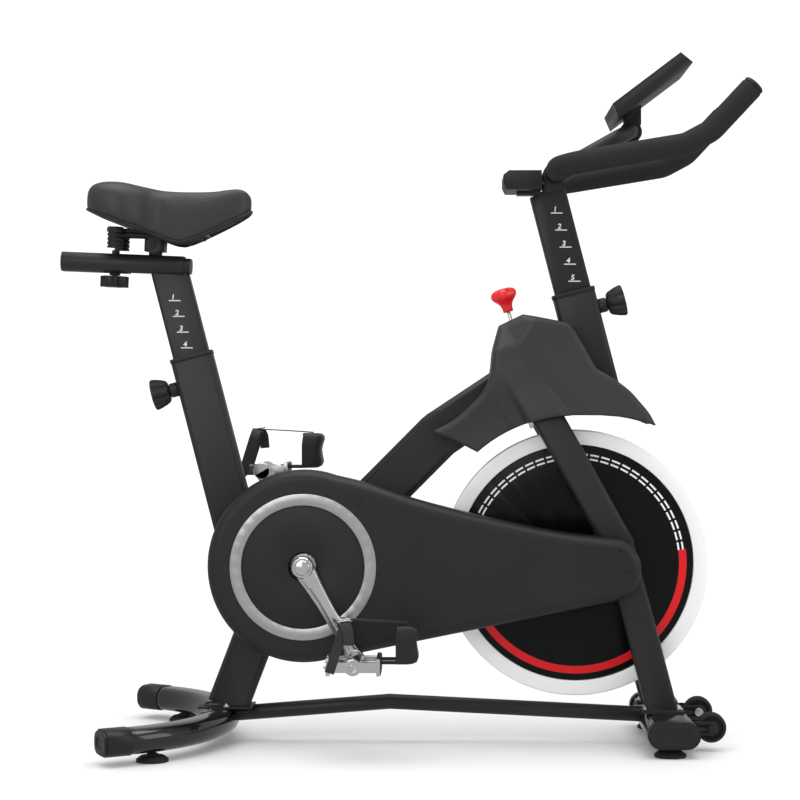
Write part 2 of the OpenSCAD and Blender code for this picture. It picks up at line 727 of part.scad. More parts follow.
module frame_bolts() color("#a9a9ab") {
    for (s = [-1, 1]) pin(castor, s * castor_y - 14.8, s * castor_y + 14.8, 4);
    for (s = [-1, 1], t = [-1, 1]) {
        y = s * castor_y + t * 14.8;
        pin(castor, t > 0 ? y : y - 4, t > 0 ? y + 4 : y, 7);
    }
    for (s = [-1, 1], x = [-26, 26]) translate([fork_foot[0] + x, s * fork_y, fork_foot[1] + 4]) dome_bolt(5);
    for (s = [-1, 1]) translate([leg_foot[0], s * 26, stab_z + stab_h + 3]) dome_bolt(3.6);
    pin([360, axle_z - 4], cover_face_y - 2, cover_face_y, 4.5);
    pin([-70, 400], cover_face_y - 2, cover_face_y, 4.5);
    pin([-70, 192], cover_face_y - 2, cover_face_y, 4.5);
}

module foot(p) color("#19191a") translate([p[0], p[1], 0]) {
    cylinder(h = 4, r = foot_r);
    translate([0, 0, 4]) cylinder(h = 5, r1 = foot_r, r2 = 19);
    translate([0, 0, 9]) cylinder(h = 4, r = 9, $fn = 6);
    cylinder(h = 34, r = 5);
}

rear_stabiliser();
front_stabiliser();
stabiliser_caps();
bottom_tube();
seat_tube();
rear_leg();
main_tube();
head_tube();
fork(-1);  // fork_right
fork(1);  // fork_left
bearings();
belt_cover_inner();
belt_cover_outer();
cover_ring();
cover_disc();
shroud(-1);  // shroud_right
shroud(1);  // shroud_left
post_collars();
knob_bosses();
brake_sleeve();
drive_belt();
wheel_brackets();
frame_bolts();
flywheel();
flywheel_faces();
flywheel_axle();
crank_axle();
crank_pulley();
crank(-1);  // crank_right
crank(1);  // crank_left
pedal(-1);  // pedal_right
toe_cage(-1);  // toe_cage_right
toe_strap(-1);  // toe_strap_right
pedal(1);  // pedal_left
toe_cage(1);  // toe_cage_left
toe_strap(1);  // toe_strap_left
seat_post();
slider_rail();
slider_sleeve();
slider_knob();
saddle_clamp();
saddle_base();
saddle_cushion();
seat_knob();
handlebar_post();
handlebar();
aero_loop();
grips();
console_body();
console_button();
handlebar_knob();
tablet_tray();
brake_rod();
resistance_knob();
castor_wheel(-1);  // wheel_right
castor_wheel(1);  // wheel_left
foot([front_x - 4, -foot_front_y]);  // foot_front_right
foot([front_x - 4, foot_front_y]);  // foot_front_left
foot(rear_point(-foot_rear_angle));  // foot_rear_right
foot(rear_point(foot_rear_angle));  // foot_rear_left
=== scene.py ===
# %% [markdown]
# # An indoor exercise bike
# The bike's steel frame, posts, wheels and joints come packed from the workshop drawing, and they
# stay as they are. This notebook gives every part its finish, and builds the shapes that a maker
# would sculpt and not draft: the saddle, the moulded covers, the bent bars, the knobs and straps.
# Everything is in metres. X points forward, Y to the rider's left, and Z up.

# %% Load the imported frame
import json
import math
import bmesh
import bpy
import numpy as np
from mathutils import Matrix, Vector
from mathutils.geometry import delaunay_2d_cdt


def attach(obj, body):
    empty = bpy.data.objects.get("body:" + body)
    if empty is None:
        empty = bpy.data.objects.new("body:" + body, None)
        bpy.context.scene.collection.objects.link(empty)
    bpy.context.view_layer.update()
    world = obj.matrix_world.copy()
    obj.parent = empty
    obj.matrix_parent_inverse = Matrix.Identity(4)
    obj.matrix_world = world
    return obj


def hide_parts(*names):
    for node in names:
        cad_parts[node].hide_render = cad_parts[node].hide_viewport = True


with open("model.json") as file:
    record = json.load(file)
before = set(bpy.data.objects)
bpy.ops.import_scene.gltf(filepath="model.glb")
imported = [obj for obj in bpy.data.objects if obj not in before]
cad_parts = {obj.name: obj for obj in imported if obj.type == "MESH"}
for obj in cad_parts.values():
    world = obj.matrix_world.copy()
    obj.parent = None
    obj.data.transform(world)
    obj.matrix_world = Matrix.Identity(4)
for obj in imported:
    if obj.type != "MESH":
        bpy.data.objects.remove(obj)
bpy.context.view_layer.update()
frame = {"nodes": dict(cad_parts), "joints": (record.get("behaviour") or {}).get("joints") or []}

joints = {joint["name"]: joint for joint in frame["joints"]}

# %% [markdown]
# The pieces below need a few places on the bike. The joints of the frame say where things turn
# and slide.

# %% Places taken from the frame
def joint_at(name):
    return Vector(joints[name]["pos_m"])


def joint_axis(name):
    return Vector(joints[name]["axis"]).normalized()


CRANK = joint_at("crank_spin")
HUB = joint_at("flywheel_spin")
MM = 0.001
print("crank", tuple(CRANK), "hub", tuple(HUB))

# %% [markdown]
# ## The view
# The lens is long and stands far back at the height of the fork, so the side view is nearly flat.
# The camera comes first, because every later step is judged through it.

# %% Camera
CAMERA_AT = (0.063, -3.3, 0.583)
CAMERA_TURN = 1.205
CAMERA_TIP = -0.344
camera_data = bpy.data.cameras.new("side_view")
camera_data.lens = 89.9
camera_data.sensor_width = 36.0
camera = bpy.data.objects.new("side_view", camera_data)
camera.location = CAMERA_AT
camera.rotation_euler = (math.radians(90 + CAMERA_TIP), 0, math.radians(CAMERA_TURN))
bpy.context.scene.collection.objects.link(camera)
bpy.context.scene.camera = camera
print("camera", camera_data.lens, "mm")

# %% [markdown]
# ## A small language for finishes
# A finish is a net of shader nodes. Writing its maths as Python expressions keeps it readable, so
# a Wire wraps one output of a node, and + - * on it add Math nodes. A Paint holds one material.

# %% Wires and paints
class Wire:
    """One output of a shader node, which Python's operators can work on."""

    def __init__(self, paint, socket):
        self.paint, self.socket = paint, socket

    def __add__(self, other):
        return self.paint.math("ADD", self, other)

    def __sub__(self, other):
        return self.paint.math("SUBTRACT", self, other)

    def __rsub__(self, other):
        return self.paint.math("SUBTRACT", other, self)

    def __mul__(self, other):
        return self.paint.math("MULTIPLY", self, other)

    __radd__ = __add__
    __rmul__ = __mul__


def new_node(tree, kind, settings, sockets):
    """Adds any node to a tree: its settings first, and then the values or links of its sockets."""
    node = tree.nodes.new(kind)
    for key, value in (settings or {}).items():
        setattr(node, key, value)
    for key, value in (sockets or {}).items():
        value = value.socket if isinstance(value, Wire) else value
        if isinstance(value, bpy.types.NodeSocket):
            tree.links.new(value, node.inputs[key])
        else:
            node.inputs[key].default_value = value
    return node


class Paint:
    """A material with one Principled shader."""

    def __init__(self, name, **constants):
        self.material = bpy.data.materials.new(name)
        self.material.use_nodes = True
        self.tree = self.material.node_tree
        self.shader = self.tree.nodes["Principled BSDF"]
        for socket, value in constants.items():
            self.shader.inputs[socket.replace("_", " ")].default_value = value

    def add(self, kind, settings=None, sockets=None, out=0):
        """Adds any node, and gives back a wire from one of its outputs."""
        return Wire(self, new_node(self.tree, kind, settings, sockets).outputs[out])

    def math(self, operation, a, b=0.0):
        return self.add("ShaderNodeMath", {"operation": operation}, {0: a, 1: b})

    def place(self, centre=(0, 0, 0)):
        """Object coordinates, measured from a centre."""
        at = self.add("ShaderNodeTexCoord", out="Object")
        return self.add("ShaderNodeVectorMath", {"operation": "SUBTRACT"}, {0: at, 1: centre})

    def parts(self, vector):
        node = self.add("ShaderNodeSeparateXYZ", sockets={0: vector}).socket.node
        return [Wire(self, socket) for socket in node.outputs]

    def noise(self, vector, scale, detail=2.0):
        sockets = {"Vector": vector, "Scale": scale, "Detail": detail}
        return self.add("ShaderNodeTexNoise", sockets=sockets)

    def cells(self, vector, scale):
        return self.add("ShaderNodeTexVoronoi", sockets={"Vector": vector, "Scale": scale})

    def step(self, wire, low, high):
        """0 below low, 1 above high, smooth between."""
        sockets = {"Value": wire, "From Min": low, "From Max": high}
        return self.add("ShaderNodeMapRange", {"interpolation_type": "SMOOTHSTEP"}, sockets)

    def blend(self, factor, one, two):
        """A colour between two, by a factor."""
        sockets = {0: factor, 6: one, 7: two}
        return self.add("ShaderNodeMix", {"data_type": "RGBA"}, sockets, out=2)

    def bump(self, height, depth, strength=1.0):
        sockets = {"Height": height, "Distance": depth, "Strength": strength}
        return self.add("ShaderNodeBump", sockets=sockets)

    def drive(self, socket, wire):
        self.tree.links.new(wire.socket, self.shader.inputs[socket])


def grey(value, tint=0.0):
    return (value, value, value * (1 + tint), 1.0)


print("finish language ready")

# %% [markdown]
# ## Painted and moulded blacks
# Nearly all of the bike is black, so the blacks have to differ. Powder coat has a fine orange peel
# and a satin sheen, the stabilisers are glossier, and moulded covers have a spark-eroded grain that
# is finer than a millimetre. Each is the same recipe with other numbers: a slow cloud that varies
# shade and roughness, and a fine grain that only tilts the surface.

# %% Coats
def coat(name, shade, rough, grain_scale, grain_depth, cloud=0.12, sheen_coat=0.0):
    paint = Paint(name, Coat_Weight=sheen_coat, Coat_Roughness=0.08, Specular_IOR_Level=0.42)
    at = paint.place()
    slow = paint.noise(at, 7.0, 3.0)
    grain = paint.noise(at, grain_scale, 2.0)
    paint.drive("Base Color", paint.blend(slow, grey(shade * 0.8), grey(shade * 1.25, 0.03)))
    paint.drive("Roughness", (slow - 0.5) * cloud + (grain - 0.5) * 0.12 + rough)
    paint.drive("Normal", paint.bump(grain, grain_depth))
    return paint.material


frame_paint = coat("frame_powder_coat", 0.0145, 0.40, 900, 0.00010)
post_paint = coat("post_satin_paint", 0.0130, 0.36, 1100, 0.00006)
stabiliser_paint = coat("stabiliser_gloss_paint", 0.0065, 0.16, 700, 0.00004, cloud=0.06, sheen_coat=0.9)
cover_plastic = coat("cover_moulded_grain", 0.0115, 0.46, 1500, 0.00012)
shroud_plastic = coat("shroud_moulded_grain", 0.0280, 0.42, 1500, 0.00012)
black_plastic = coat("black_nylon", 0.0110, 0.40, 1300, 0.00010)
rubber = coat("black_rubber", 0.0100, 0.72, 1000, 0.00016)
belt_rubber = coat("belt_rubber", 0.0080, 0.66, 1600, 0.00012)
foam = coat("grip_foam", 0.0120, 0.82, 1400, 0.00030)
print("nine blacks")

# %% [markdown]
# ## Metals
# Turned and plated steel show where they were handled: the roughness wanders with faint smears.
# The ring on the belt cover was brushed round and round, so its noise is stretched along the
# circle, which takes polar coordinates about the crank.

# %% Metals
def metal(name, shade, rough, smear=0.12, grain_scale=600, grain_depth=0.00003):
    paint = Paint(name, Metallic=1.0)
    at = paint.place()
    slow = paint.noise(at, 22.0, 4.0)
    grain = paint.noise(at, grain_scale, 2.0)
    paint.drive("Base Color", paint.blend(slow, grey(shade * 0.9), grey(shade, 0.02)))
    paint.drive("Roughness", (slow - 0.5) * smear + rough)
    paint.drive("Normal", paint.bump(grain, grain_depth))
    return paint.material


def polar(paint, centre):
    """Radius and angle about an axis along Y through a centre."""
    x, _, z = paint.parts(paint.place(centre))
    radius = paint.math("SQRT", x * x + z * z)
    return radius, paint.math("ARCTAN2", z, x), z


def along_circles(paint, radius, angle, turns, fineness):
    """Coordinates that change slowly round the circle and fast across it."""
    sockets = {"X": paint.math("COSINE", angle) * turns, "Y": paint.math("SINE", angle) * turns,
               "Z": radius * fineness}
    return paint.add("ShaderNodeCombineXYZ", sockets=sockets)


def brushed_ring():
    paint = Paint("brushed_aluminium_ring", Metallic=1.0)
    radius, angle, _ = polar(paint, CRANK)
    lines = paint.noise(along_circles(paint, radius, angle, 2.0, 2600), 1.0, 3.0)
    paint.drive("Base Color", paint.blend(lines, grey(0.46), grey(0.86)))
    paint.drive("Roughness", lines * 0.22 + 0.24)
    paint.drive("Normal", paint.bump(lines, 0.00008))
    return paint.material


machined_steel = metal("turned_steel", 0.72, 0.32)
bright_steel = metal("bright_plating", 0.92, 0.17, 0.12)
zinc = metal("zinc_plating", 0.74, 0.36, 0.2, 300, 0.00005)
ring_metal = brushed_ring()
print("five metals")

# %% [markdown]
# ## The flywheel's faces
# A casting is turned bright round its rim and painted gloss black inside. The print on the face is
# two broken white rings over the top half and one solid red band over the rest, so it is worked
# out from the angle and the radius about the axle. It turns with the wheel.

# %% Flywheel finishes
RED_INNER, RED_OUTER = 0.1705, 0.1830
DASH_RINGS = (0.1712, 0.1782)
DASH_HALF = 0.0014
DASHES = 61
DASH_SHARE = 0.78


def band(paint, wire, low, high, soft=0.0004):
    return paint.step(wire, low - soft, low + soft) * (1.0 - paint.step(wire, high - soft, high + soft))


def face_paint():
    paint = Paint("flywheel_face_gloss", Specular_IOR_Level=0.22)
    radius, angle, z = polar(paint, HUB)
    slow = paint.noise(paint.place(), 16.0, 3.0)
    lower = 1.0 - paint.step(z - radius * 0.122, -0.0003, 0.0003)
    red = band(paint, radius, RED_INNER, RED_OUTER) * lower
    phase = paint.math("FRACT", angle * (DASHES / math.tau) + 10.0)
    dash = band(paint, phase, 0.5 - DASH_SHARE / 2, 0.5 + DASH_SHARE / 2, 0.02)
    rings = band(paint, radius, DASH_RINGS[0] - DASH_HALF, DASH_RINGS[0] + DASH_HALF)
    rings = rings + band(paint, radius, DASH_RINGS[1] - DASH_HALF, DASH_RINGS[1] + DASH_HALF)
    white = rings * dash * (1.0 - lower)
    ground = paint.blend(slow, grey(0.0018), grey(0.0035))
    printed = paint.blend(red, ground, (0.62, 0.008, 0.012, 1.0))
    paint.drive("Base Color", paint.blend(white, printed, grey(0.82)))
    paint.drive("Roughness", slow * 0.10 + (red + white) * 0.12 + 0.22)
    paint.drive("Normal", paint.bump(red + white, 0.00006))
    return paint.material


def rim_metal():
    paint = Paint("flywheel_turned_rim", Metallic=0.2)
    radius, angle, _ = polar(paint, HUB)
    lines = paint.noise(along_circles(paint, radius, angle, 1.0, 1800), 1.0, 2.0)
    paint.drive("Base Color", paint.blend(lines, grey(0.86), grey(0.95)))
    paint.drive("Roughness", lines * 0.16 + 0.30)
    paint.drive("Normal", paint.bump(lines, 0.00004))
    return paint.material


flywheel_face = face_paint()
flywheel_rim = rim_metal()
print("flywheel finishes")

# %% [markdown]
# ## Soft and coloured finishes
# The saddle is smooth synthetic leather: small flat pebbles with fine valleys, which a Voronoi
# pattern gives. The straps are woven webbing, so two waves cross. The knobs are glossy red.

# %% Leather, webbing and red plastic
def leather():
    paint = Paint("saddle_leather", Coat_Weight=0.06, Coat_Roughness=0.3)
    at = paint.place()
    slow = paint.noise(at, 14.0, 3.0)
    pebble = paint.cells(at, 780.0)
    crease = paint.noise(at, 160.0, 4.0)
    height = pebble * 0.7 + crease * 0.5
    paint.drive("Base Color", paint.blend(slow, grey(0.0190), grey(0.0280)))
    paint.drive("Roughness", (slow - 0.5) * 0.16 + pebble * 0.10 + 0.40)
    paint.drive("Normal", paint.bump(height, 0.00018))
    return paint.material


def webbing():
    paint = Paint("strap_webbing")
    at = paint.place()
    x, y, z = paint.parts(at)
    warp = paint.math("SINE", (x + z) * 3600)
    weft = paint.math("SINE", (y + z * 0.5) * 2800)
    weave = warp * weft * 0.5 + 0.5
    paint.drive("Base Color", paint.blend(weave, grey(0.010), grey(0.030)))
    paint.drive("Roughness", weave * 0.15 + 0.62)
    paint.drive("Normal", paint.bump(weave, 0.0002))
    return paint.material


def red_plastic():
    paint = Paint("red_gloss_plastic", Coat_Weight=0.4, Coat_Roughness=0.06)
    slow = paint.noise(paint.place(), 40.0, 3.0)
    paint.drive("Base Color", paint.blend(slow, (0.62, 0.006, 0.010, 1), (0.76, 0.012, 0.016, 1)))
    paint.drive("Roughness", slow * 0.14 + 0.20)
    return paint.material


def white_print():
    paint = Paint("white_print")
    worn = paint.noise(paint.place(), 500.0, 3.0)
    paint.drive("Base Color", paint.blend(worn, grey(0.45), grey(0.72)))
    paint.drive("Roughness", worn * 0.2 + 0.45)
    return paint.material


def lcd_glass():
    paint = Paint("display_grey_green", Coat_Weight=0.8, Coat_Roughness=0.04)
    slow = paint.noise(paint.place(), 30.0, 2.0)
    paint.drive("Base Color", paint.blend(slow, (0.13, 0.15, 0.13, 1), (0.17, 0.19, 0.16, 1)))
    paint.drive("Roughness", slow * 0.1 + 0.18)
    return paint.material


saddle_leather = leather()
strap_webbing = webbing()
red_gloss = red_plastic()
print_white = white_print()
display = lcd_glass()
print("soft and coloured finishes")

# %% [markdown]
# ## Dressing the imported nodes
# A node from the workshop drawing arrives as loose triangles with knife-sharp edges. Real tubes and
# mouldings have a small radius on every edge, which is what catches the light. A Weld modifier
# joins the triangles, and a Bevel modifier then rounds the sharp edges, without moving the part.

# %% Give each node its finish
COVER_SCREWS_FROM = -0.095


def dress(names, material, radius=0.0006, angle=32):
    for name in names.split():
        node = frame["nodes"][name]
        node.data.materials.clear()
        node.data.materials.append(material)
        for polygon in node.data.polygons:
            polygon.use_smooth = True
            polygon.material_index = 0
        weld = node.modifiers.new("weld", "WELD")
        weld.merge_threshold = 0.00002
        if radius:
            bevel = node.modifiers.new("edge", "BEVEL")
            bevel.width = radius
            bevel.segments = 2
            bevel.limit_method = "ANGLE"
            bevel.angle_limit = math.radians(angle)
            bevel.harden_normals = True


dress("rear_stabiliser front_stabiliser", stabiliser_paint)
dress("bottom_tube seat_tube rear_leg main_tube head_tube fork_right fork_left", frame_paint)
dress("wheel_brackets slider_rail slider_sleeve saddle_clamp saddle_base", frame_paint)
dress("handlebar aero_loop", frame_paint, 0)
dress("seat_post handlebar_post", post_paint)
dress("stabiliser_caps post_collars knob_bosses slider_knob", black_plastic)
dress("seat_knob handlebar_knob tablet_tray console_body toe_cage_right toe_cage_left", black_plastic)
dress("belt_cover_inner belt_cover_outer cover_disc", cover_plastic)
dress("shroud_right shroud_left", shroud_plastic)
dress("bearings flywheel_axle crank_axle crank_pulley brake_sleeve", machined_steel, 0.0003)
dress("crank_right crank_left pedal_right pedal_left brake_rod", bright_steel, 0.0008)
dress("frame_bolts", zinc, 0.0003)
bolts = frame["nodes"]["frame_bolts"].data
bolts.materials.append(black_plastic)
for polygon in bolts.polygons:  # the screws of the belt cover are black
    polygon.material_index = int(polygon.center.y < COVER_SCREWS_FROM)
dress("cover_ring", ring_metal, 0.0006)
dress("flywheel", flywheel_rim, 0.0006)
dress("flywheel_faces", flywheel_face, 0.0008)
dress("drive_belt", belt_rubber, 0.0003)
dress("wheel_right wheel_left foot_front_right foot_front_left foot_rear_right foot_rear_left", rubber, 0.001)
dress("toe_strap_right toe_strap_left", strap_webbing, 0.0003)
dress("saddle_cushion", saddle_leather, 0)
dress("grips", foam, 0)
dress("console_button resistance_knob", red_gloss, 0.0004)
print("dressed", len(frame["nodes"]), "nodes")

# %% [markdown]
# ## Making solid shapes
# Most of the sculpted parts are lofts: a row of rings, joined ring to ring with four-sided faces. A
# turned part is a loft of circles about an axis. Each helper returns points and faces, so that
# several shapes can go into one mesh.

# %% Lofts, turned parts and blocks
def loft(rings, closed=True, caps=True):
    """Points and faces of rings joined in a row. Open rings give a sheet."""
    n = len(rings[0])
    last = n if closed else n - 1
    faces = []
    for r in range(len(rings) - 1):
        for i in range(last):
            j = (i + 1) % n
            faces.append((r * n + i, r * n + j, (r + 1) * n + j, (r + 1) * n + i))
    if caps and closed:
        end = (len(rings) - 1) * n
        faces += [tuple(range(n))[::-1], tuple(range(end, end + n))]
    return [Vector(p) for ring in rings for p in ring], faces


def turned(profile, origin, axis, segments=48, flute=None):
    """A loft of circles: the profile is (radius, distance along the axis) in millimetres."""
    turn = Vector(axis).to_track_quat("Z", "Y").to_matrix()
    rings = []
    for radius, along in profile:
        ring = []
        for i in range(segments):
            a = math.tau * i / segments
            r = max(radius, 0.01) * (flute(a, along) if flute else 1.0)
            local = Vector((r * math.cos(a), r * math.sin(a), along)) * MM
            ring.append(Vector(origin) + turn @ local)
        rings.append(ring)
    return loft(rings)


def block(low, high):
    """A box between two corners, in millimetres."""
    xs, ys, zs = zip(low, high)
    ring = [(0, 0), (1, 0), (1, 1), (0, 1)]
    return loft([[Vector((xs[i], ys[j], z)) * MM for i, j in ring] for z in zs])


def moved(shape, by):
    points, faces = shape
    return [p + Vector(by) for p in points], faces


def smooth_through(points, steps=8):
    """A Catmull-Rom curve through points."""
    points = [np.array(p, float) for p in points]
    padded = [2 * points[0] - points[1]] + points + [2 * points[-1] - points[-2]]
    curve = []
    for a, b, c, d in zip(padded, padded[1:], padded[2:], padded[3:]):
        for t in np.linspace(0, 1, steps, endpoint=False):
            square, cube = 2 * a - 5 * b + 4 * c - d, 3 * b - a - 3 * c + d
            curve.append(0.5 * (2 * b + (c - a) * t + square * t**2 + cube * t**3))
    return [tuple(p) for p in curve] + [tuple(points[-1])]


def assemble(name, *shapes, outward=None, merge=1e-6):
    """One object from shapes. Normals are made consistent; outward is a direction for an open sheet."""
    bm = bmesh.new()
    for points, faces in shapes:
        made = [bm.verts.new(p) for p in points]
        for face in faces:
            bm.faces.new([made[i] for i in face])
    bmesh.ops.remove_doubles(bm, verts=bm.verts, dist=merge)
    bmesh.ops.recalc_face_normals(bm, faces=bm.faces)
    if outward is not None:
        lean = sum((f.normal * f.calc_area() for f in bm.faces), Vector())
        if lean.dot(Vector(outward)) < 0:
            bmesh.ops.reverse_faces(bm, faces=bm.faces)
    mesh = bpy.data.meshes.new(name)
    bm.to_mesh(mesh)
    bm.free()
    piece = bpy.data.objects.new(name, mesh)
    bpy.context.scene.collection.objects.link(piece)
    return piece


def round_edges(piece, radius, segments=3, angle=35):
    bevel = piece.modifiers.new("edge", "BEVEL")
    bevel.width = radius * MM
    bevel.segments = segments
    bevel.limit_method = "ANGLE"
    bevel.angle_limit = math.radians(angle)
    bevel.harden_normals = True


def shell(piece, thickness):
    wall = piece.modifiers.new("wall", "SOLIDIFY")
    wall.thickness = thickness * MM
    wall.offset = -1
    wall.use_even_offset = False


def hand_over(piece, body, material, slot, *nodes, smooth=38):
    """Gives a finished piece its finish, its body and the nodes that it stands for."""
    if material is not None:
        piece.data.materials.clear()
        piece.data.materials.append(material)
    piece.data.polygons.foreach_set("use_smooth", [True] * len(piece.data.polygons))
    piece.data.set_sharp_from_angle(angle=math.radians(smooth))
    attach(piece, body)
    if nodes:
        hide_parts(*nodes)
    print(piece.name, len(piece.data.polygons), "faces on", body)
    return piece


# %% [markdown]
# ## Geometry Nodes recipes
# A bent tube follows a path of straight runs, so Geometry Nodes make it: the path becomes a curve,
# a fillet rounds its corners to the bend radius of the tube bender, and a circle is swept along it.
# The same idea lays a row of beads along a weld, and puts a bar at each mark of a scale. Each tree
# has named inputs for its sizes.

# %% A recipe is a node tree
class Recipe:
    """A Geometry Nodes tree with named sizes."""

    def __init__(self, name, **sizes):
        self.tree = bpy.data.node_groups.new(name, "GeometryNodeTree")
        face = self.tree.interface
        face.new_socket("Geometry", in_out="INPUT", socket_type="NodeSocketGeometry")
        for size, value in sizes.items():
            kind = {int: "NodeSocketInt", float: "NodeSocketFloat"}.get(type(value), "NodeSocketMaterial")
            socket = face.new_socket(size, in_out="INPUT", socket_type=kind)
            if value is not None:
                socket.default_value = value
        face.new_socket("Geometry", in_out="OUTPUT", socket_type="NodeSocketGeometry")
        self.given = self.tree.nodes.new("NodeGroupInput").outputs

    def add(self, kind, settings=None, sockets=None, out=0):
        return new_node(self.tree, kind, settings, sockets).outputs[out]

    def end(self, geometry):
        real = self.add("GeometryNodeRealizeInstances", sockets={0: geometry})
        painted = self.add("GeometryNodeSetMaterial", sockets={0: real, "Material": self.given["finish"]})
        self.tree.links.new(painted, self.tree.nodes.new("NodeGroupOutput").inputs[0])
        return self

    def grow(self, name, points, edges, **sizes):
        """Runs the recipe on a path of points, and keeps the plain mesh that it makes."""
        mesh = bpy.data.meshes.new(name + "_path")
        mesh.from_pydata([tuple(p) for p in points], edges, [])
        path = bpy.data.objects.new(name + "_path", mesh)
        bpy.context.scene.collection.objects.link(path)
        modifier = path.modifiers.new("recipe", "NODES")
        modifier.node_group = self.tree
        for item in self.tree.interface.items_tree:
            if item.in_out == "INPUT" and item.name in sizes:
                modifier[item.identifier] = sizes[item.name]
        ready = path.evaluated_get(bpy.context.evaluated_depsgraph_get())
        piece = bpy.data.objects.new(name, bpy.data.meshes.new_from_object(ready))
        bpy.data.objects.remove(path)
        bpy.context.scene.collection.objects.link(piece)
        return piece


def chain(points, start=0):
    """The edges of one path."""
    return [(start + i, start + i + 1) for i in range(len(points) - 1)]


# %% [markdown]
# Three recipes are enough. The first rounds a path's corners and sweeps a circle along it, the second
# sets small spheres along a path, with sizes drawn from a fixed seed, and the third sets a bar at
# each point.

# %% Bent tubes, weld beads and bars
def tube_recipe():
    recipe = Recipe("bent_tube", bend=0.045, radius=0.0125, steps=14, finish=None)
    given = recipe.given
    curve = recipe.add("GeometryNodeMeshToCurve", sockets={0: given["Geometry"]})
    sockets = {"Curve": curve, "Count": given["steps"], "Radius": given["bend"], "Limit Radius": True}
    bent = recipe.add("GeometryNodeFilletCurve", {"mode": "POLY"}, sockets)
    sockets = {"Resolution": 32, "Radius": given["radius"]}
    ring = recipe.add("GeometryNodeCurvePrimitiveCircle", sockets=sockets)
    swept = {"Curve": bent, "Profile Curve": ring, "Fill Caps": True}
    return recipe.end(recipe.add("GeometryNodeCurveToMesh", sockets=swept))


def bead_recipe():
    recipe = Recipe("weld_beads", pitch=0.0026, radius=0.0021, seed=4, finish=None)
    given = recipe.given
    curve = recipe.add("GeometryNodeMeshToCurve", sockets={0: given["Geometry"]})
    sockets = {"Curve": curve, "Length": given["pitch"]}
    run = recipe.add("GeometryNodeResampleCurve", {"mode": "LENGTH"}, sockets)
    bead = recipe.add("GeometryNodeMeshIcoSphere", sockets={"Radius": given["radius"], "Subdivisions": 2})
    sockets = {2: 0.85, 3: 1.15, "Seed": given["seed"]}
    size = recipe.add("FunctionNodeRandomValue", {"data_type": "FLOAT"}, sockets, out=1)
    sockets = {"Points": run, "Instance": bead, "Scale": size}
    return recipe.end(recipe.add("GeometryNodeInstanceOnPoints", sockets=sockets))


def bar_recipe():
    recipe = Recipe("bars", long=0.02, wide=0.001, high=0.002, finish=None)
    given = recipe.given
    sides = recipe.add("ShaderNodeCombineXYZ", sockets={0: given["long"], 1: given["wide"], 2: given["high"]})
    bar = recipe.add("GeometryNodeMeshCube", sockets={"Size": sides})
    sockets = {"Points": given["Geometry"], "Instance": bar}
    return recipe.end(recipe.add("GeometryNodeInstanceOnPoints", sockets=sockets))


bent_tube, weld_beads, bars = tube_recipe(), bead_recipe(), bar_recipe()
print("three recipes")

# %% [markdown]
# ## Handlebar
# One steel tube is bent into the wide bar, and a second into the loop that carries the tablet. Foam
# sleeves are pulled over the wide bar, round its rear bends and out to the tips, where plugs close
# the tube. The paths are the same as in the workshop drawing, but with true bends.

# %% Bars, loop and foam
REAR, ELBOW, TIP, LOOP = (247, 932), (468, 968), (552, 1058), (372, 1002)
GRIP_Y, LOOP_Y, GRIP_START = 166, 60, 96
TUBE_R, FOAM_R, ELBOW_CUT = 0.0125, 0.018, 0.024


def bar_point(place, y):
    return Vector((place[0], y, place[1])) * MM


def elbow(side):
    """The slow bend of the elbow, as two corners in place of one."""
    at, back, up = (bar_point(p, side * GRIP_Y) for p in (ELBOW, REAR, TIP))
    return [at + (back - at).normalized() * ELBOW_CUT, at + (up - at).normalized() * ELBOW_CUT]


def bar_paths():
    wide = [bar_point(TIP, -GRIP_Y)] + elbow(-1)[::-1] + [bar_point(REAR, -GRIP_Y), bar_point(REAR, GRIP_Y)]
    wide += elbow(1) + [bar_point(TIP, GRIP_Y)]
    turns = ((REAR, -LOOP_Y), (LOOP, -LOOP_Y), (LOOP, LOOP_Y), (REAR, LOOP_Y))
    loop = [bar_point(place, y) for place, y in turns]
    return wide, loop


wide_path, loop_path = bar_paths()
for piece, path, bend, node in (
        ("handlebar_tube", wide_path, 0.045, "handlebar"), ("aero_tube", loop_path, 0.038, "aero_loop")):
    tube = bent_tube.grow(piece, path, chain(path), bend=bend, radius=TUBE_R, finish=frame_paint)
    hand_over(tube, "handlebar", None, "frame_paint", node)

foam_path, foam_edges = [], []
for side in (-1, 1):
    rise = (bar_point(TIP, 0) - bar_point(ELBOW, 0)).normalized()
    run = [bar_point(REAR, side * GRIP_START), bar_point(REAR, side * GRIP_Y)] + elbow(side)
    run.append(bar_point(TIP, side * GRIP_Y) - rise * 0.006)
    foam_edges += chain(run, len(foam_path))
    foam_path += run
sleeve = bent_tube.grow("grip_foam", foam_path, foam_edges, bend=0.047, radius=FOAM_R, finish=foam)
round_edges(sleeve, 3.5, 3, 60)
hand_over(sleeve, "handlebar", None, "foam", "grips")

plug_profile = [(0, -3), (16.6, -3), (17.4, -1), (16.8, 1.6), (14.5, 3.4), (9, 4.4), (0, 4.6)]
plugs = [turned(plug_profile, bar_point(TIP, side * GRIP_Y) - rise * 0.003, rise) for side in (-1, 1)]
hand_over(assemble("bar_plugs", *plugs), "handlebar", black_plastic, "black_plastic")

# %% [markdown]
# ## Saddle
# The saddle has a moulded shell, a foam pad and a stretched cover. Cross-sections from tail to nose
# give the pad: wide lobes, a sharp waist and a narrow nose, hollow underneath where the shell sits
# on its rails. It is remeshed evenly and swollen a little as cloth under pressure, which rounds it
# the way that foam under leather is round.

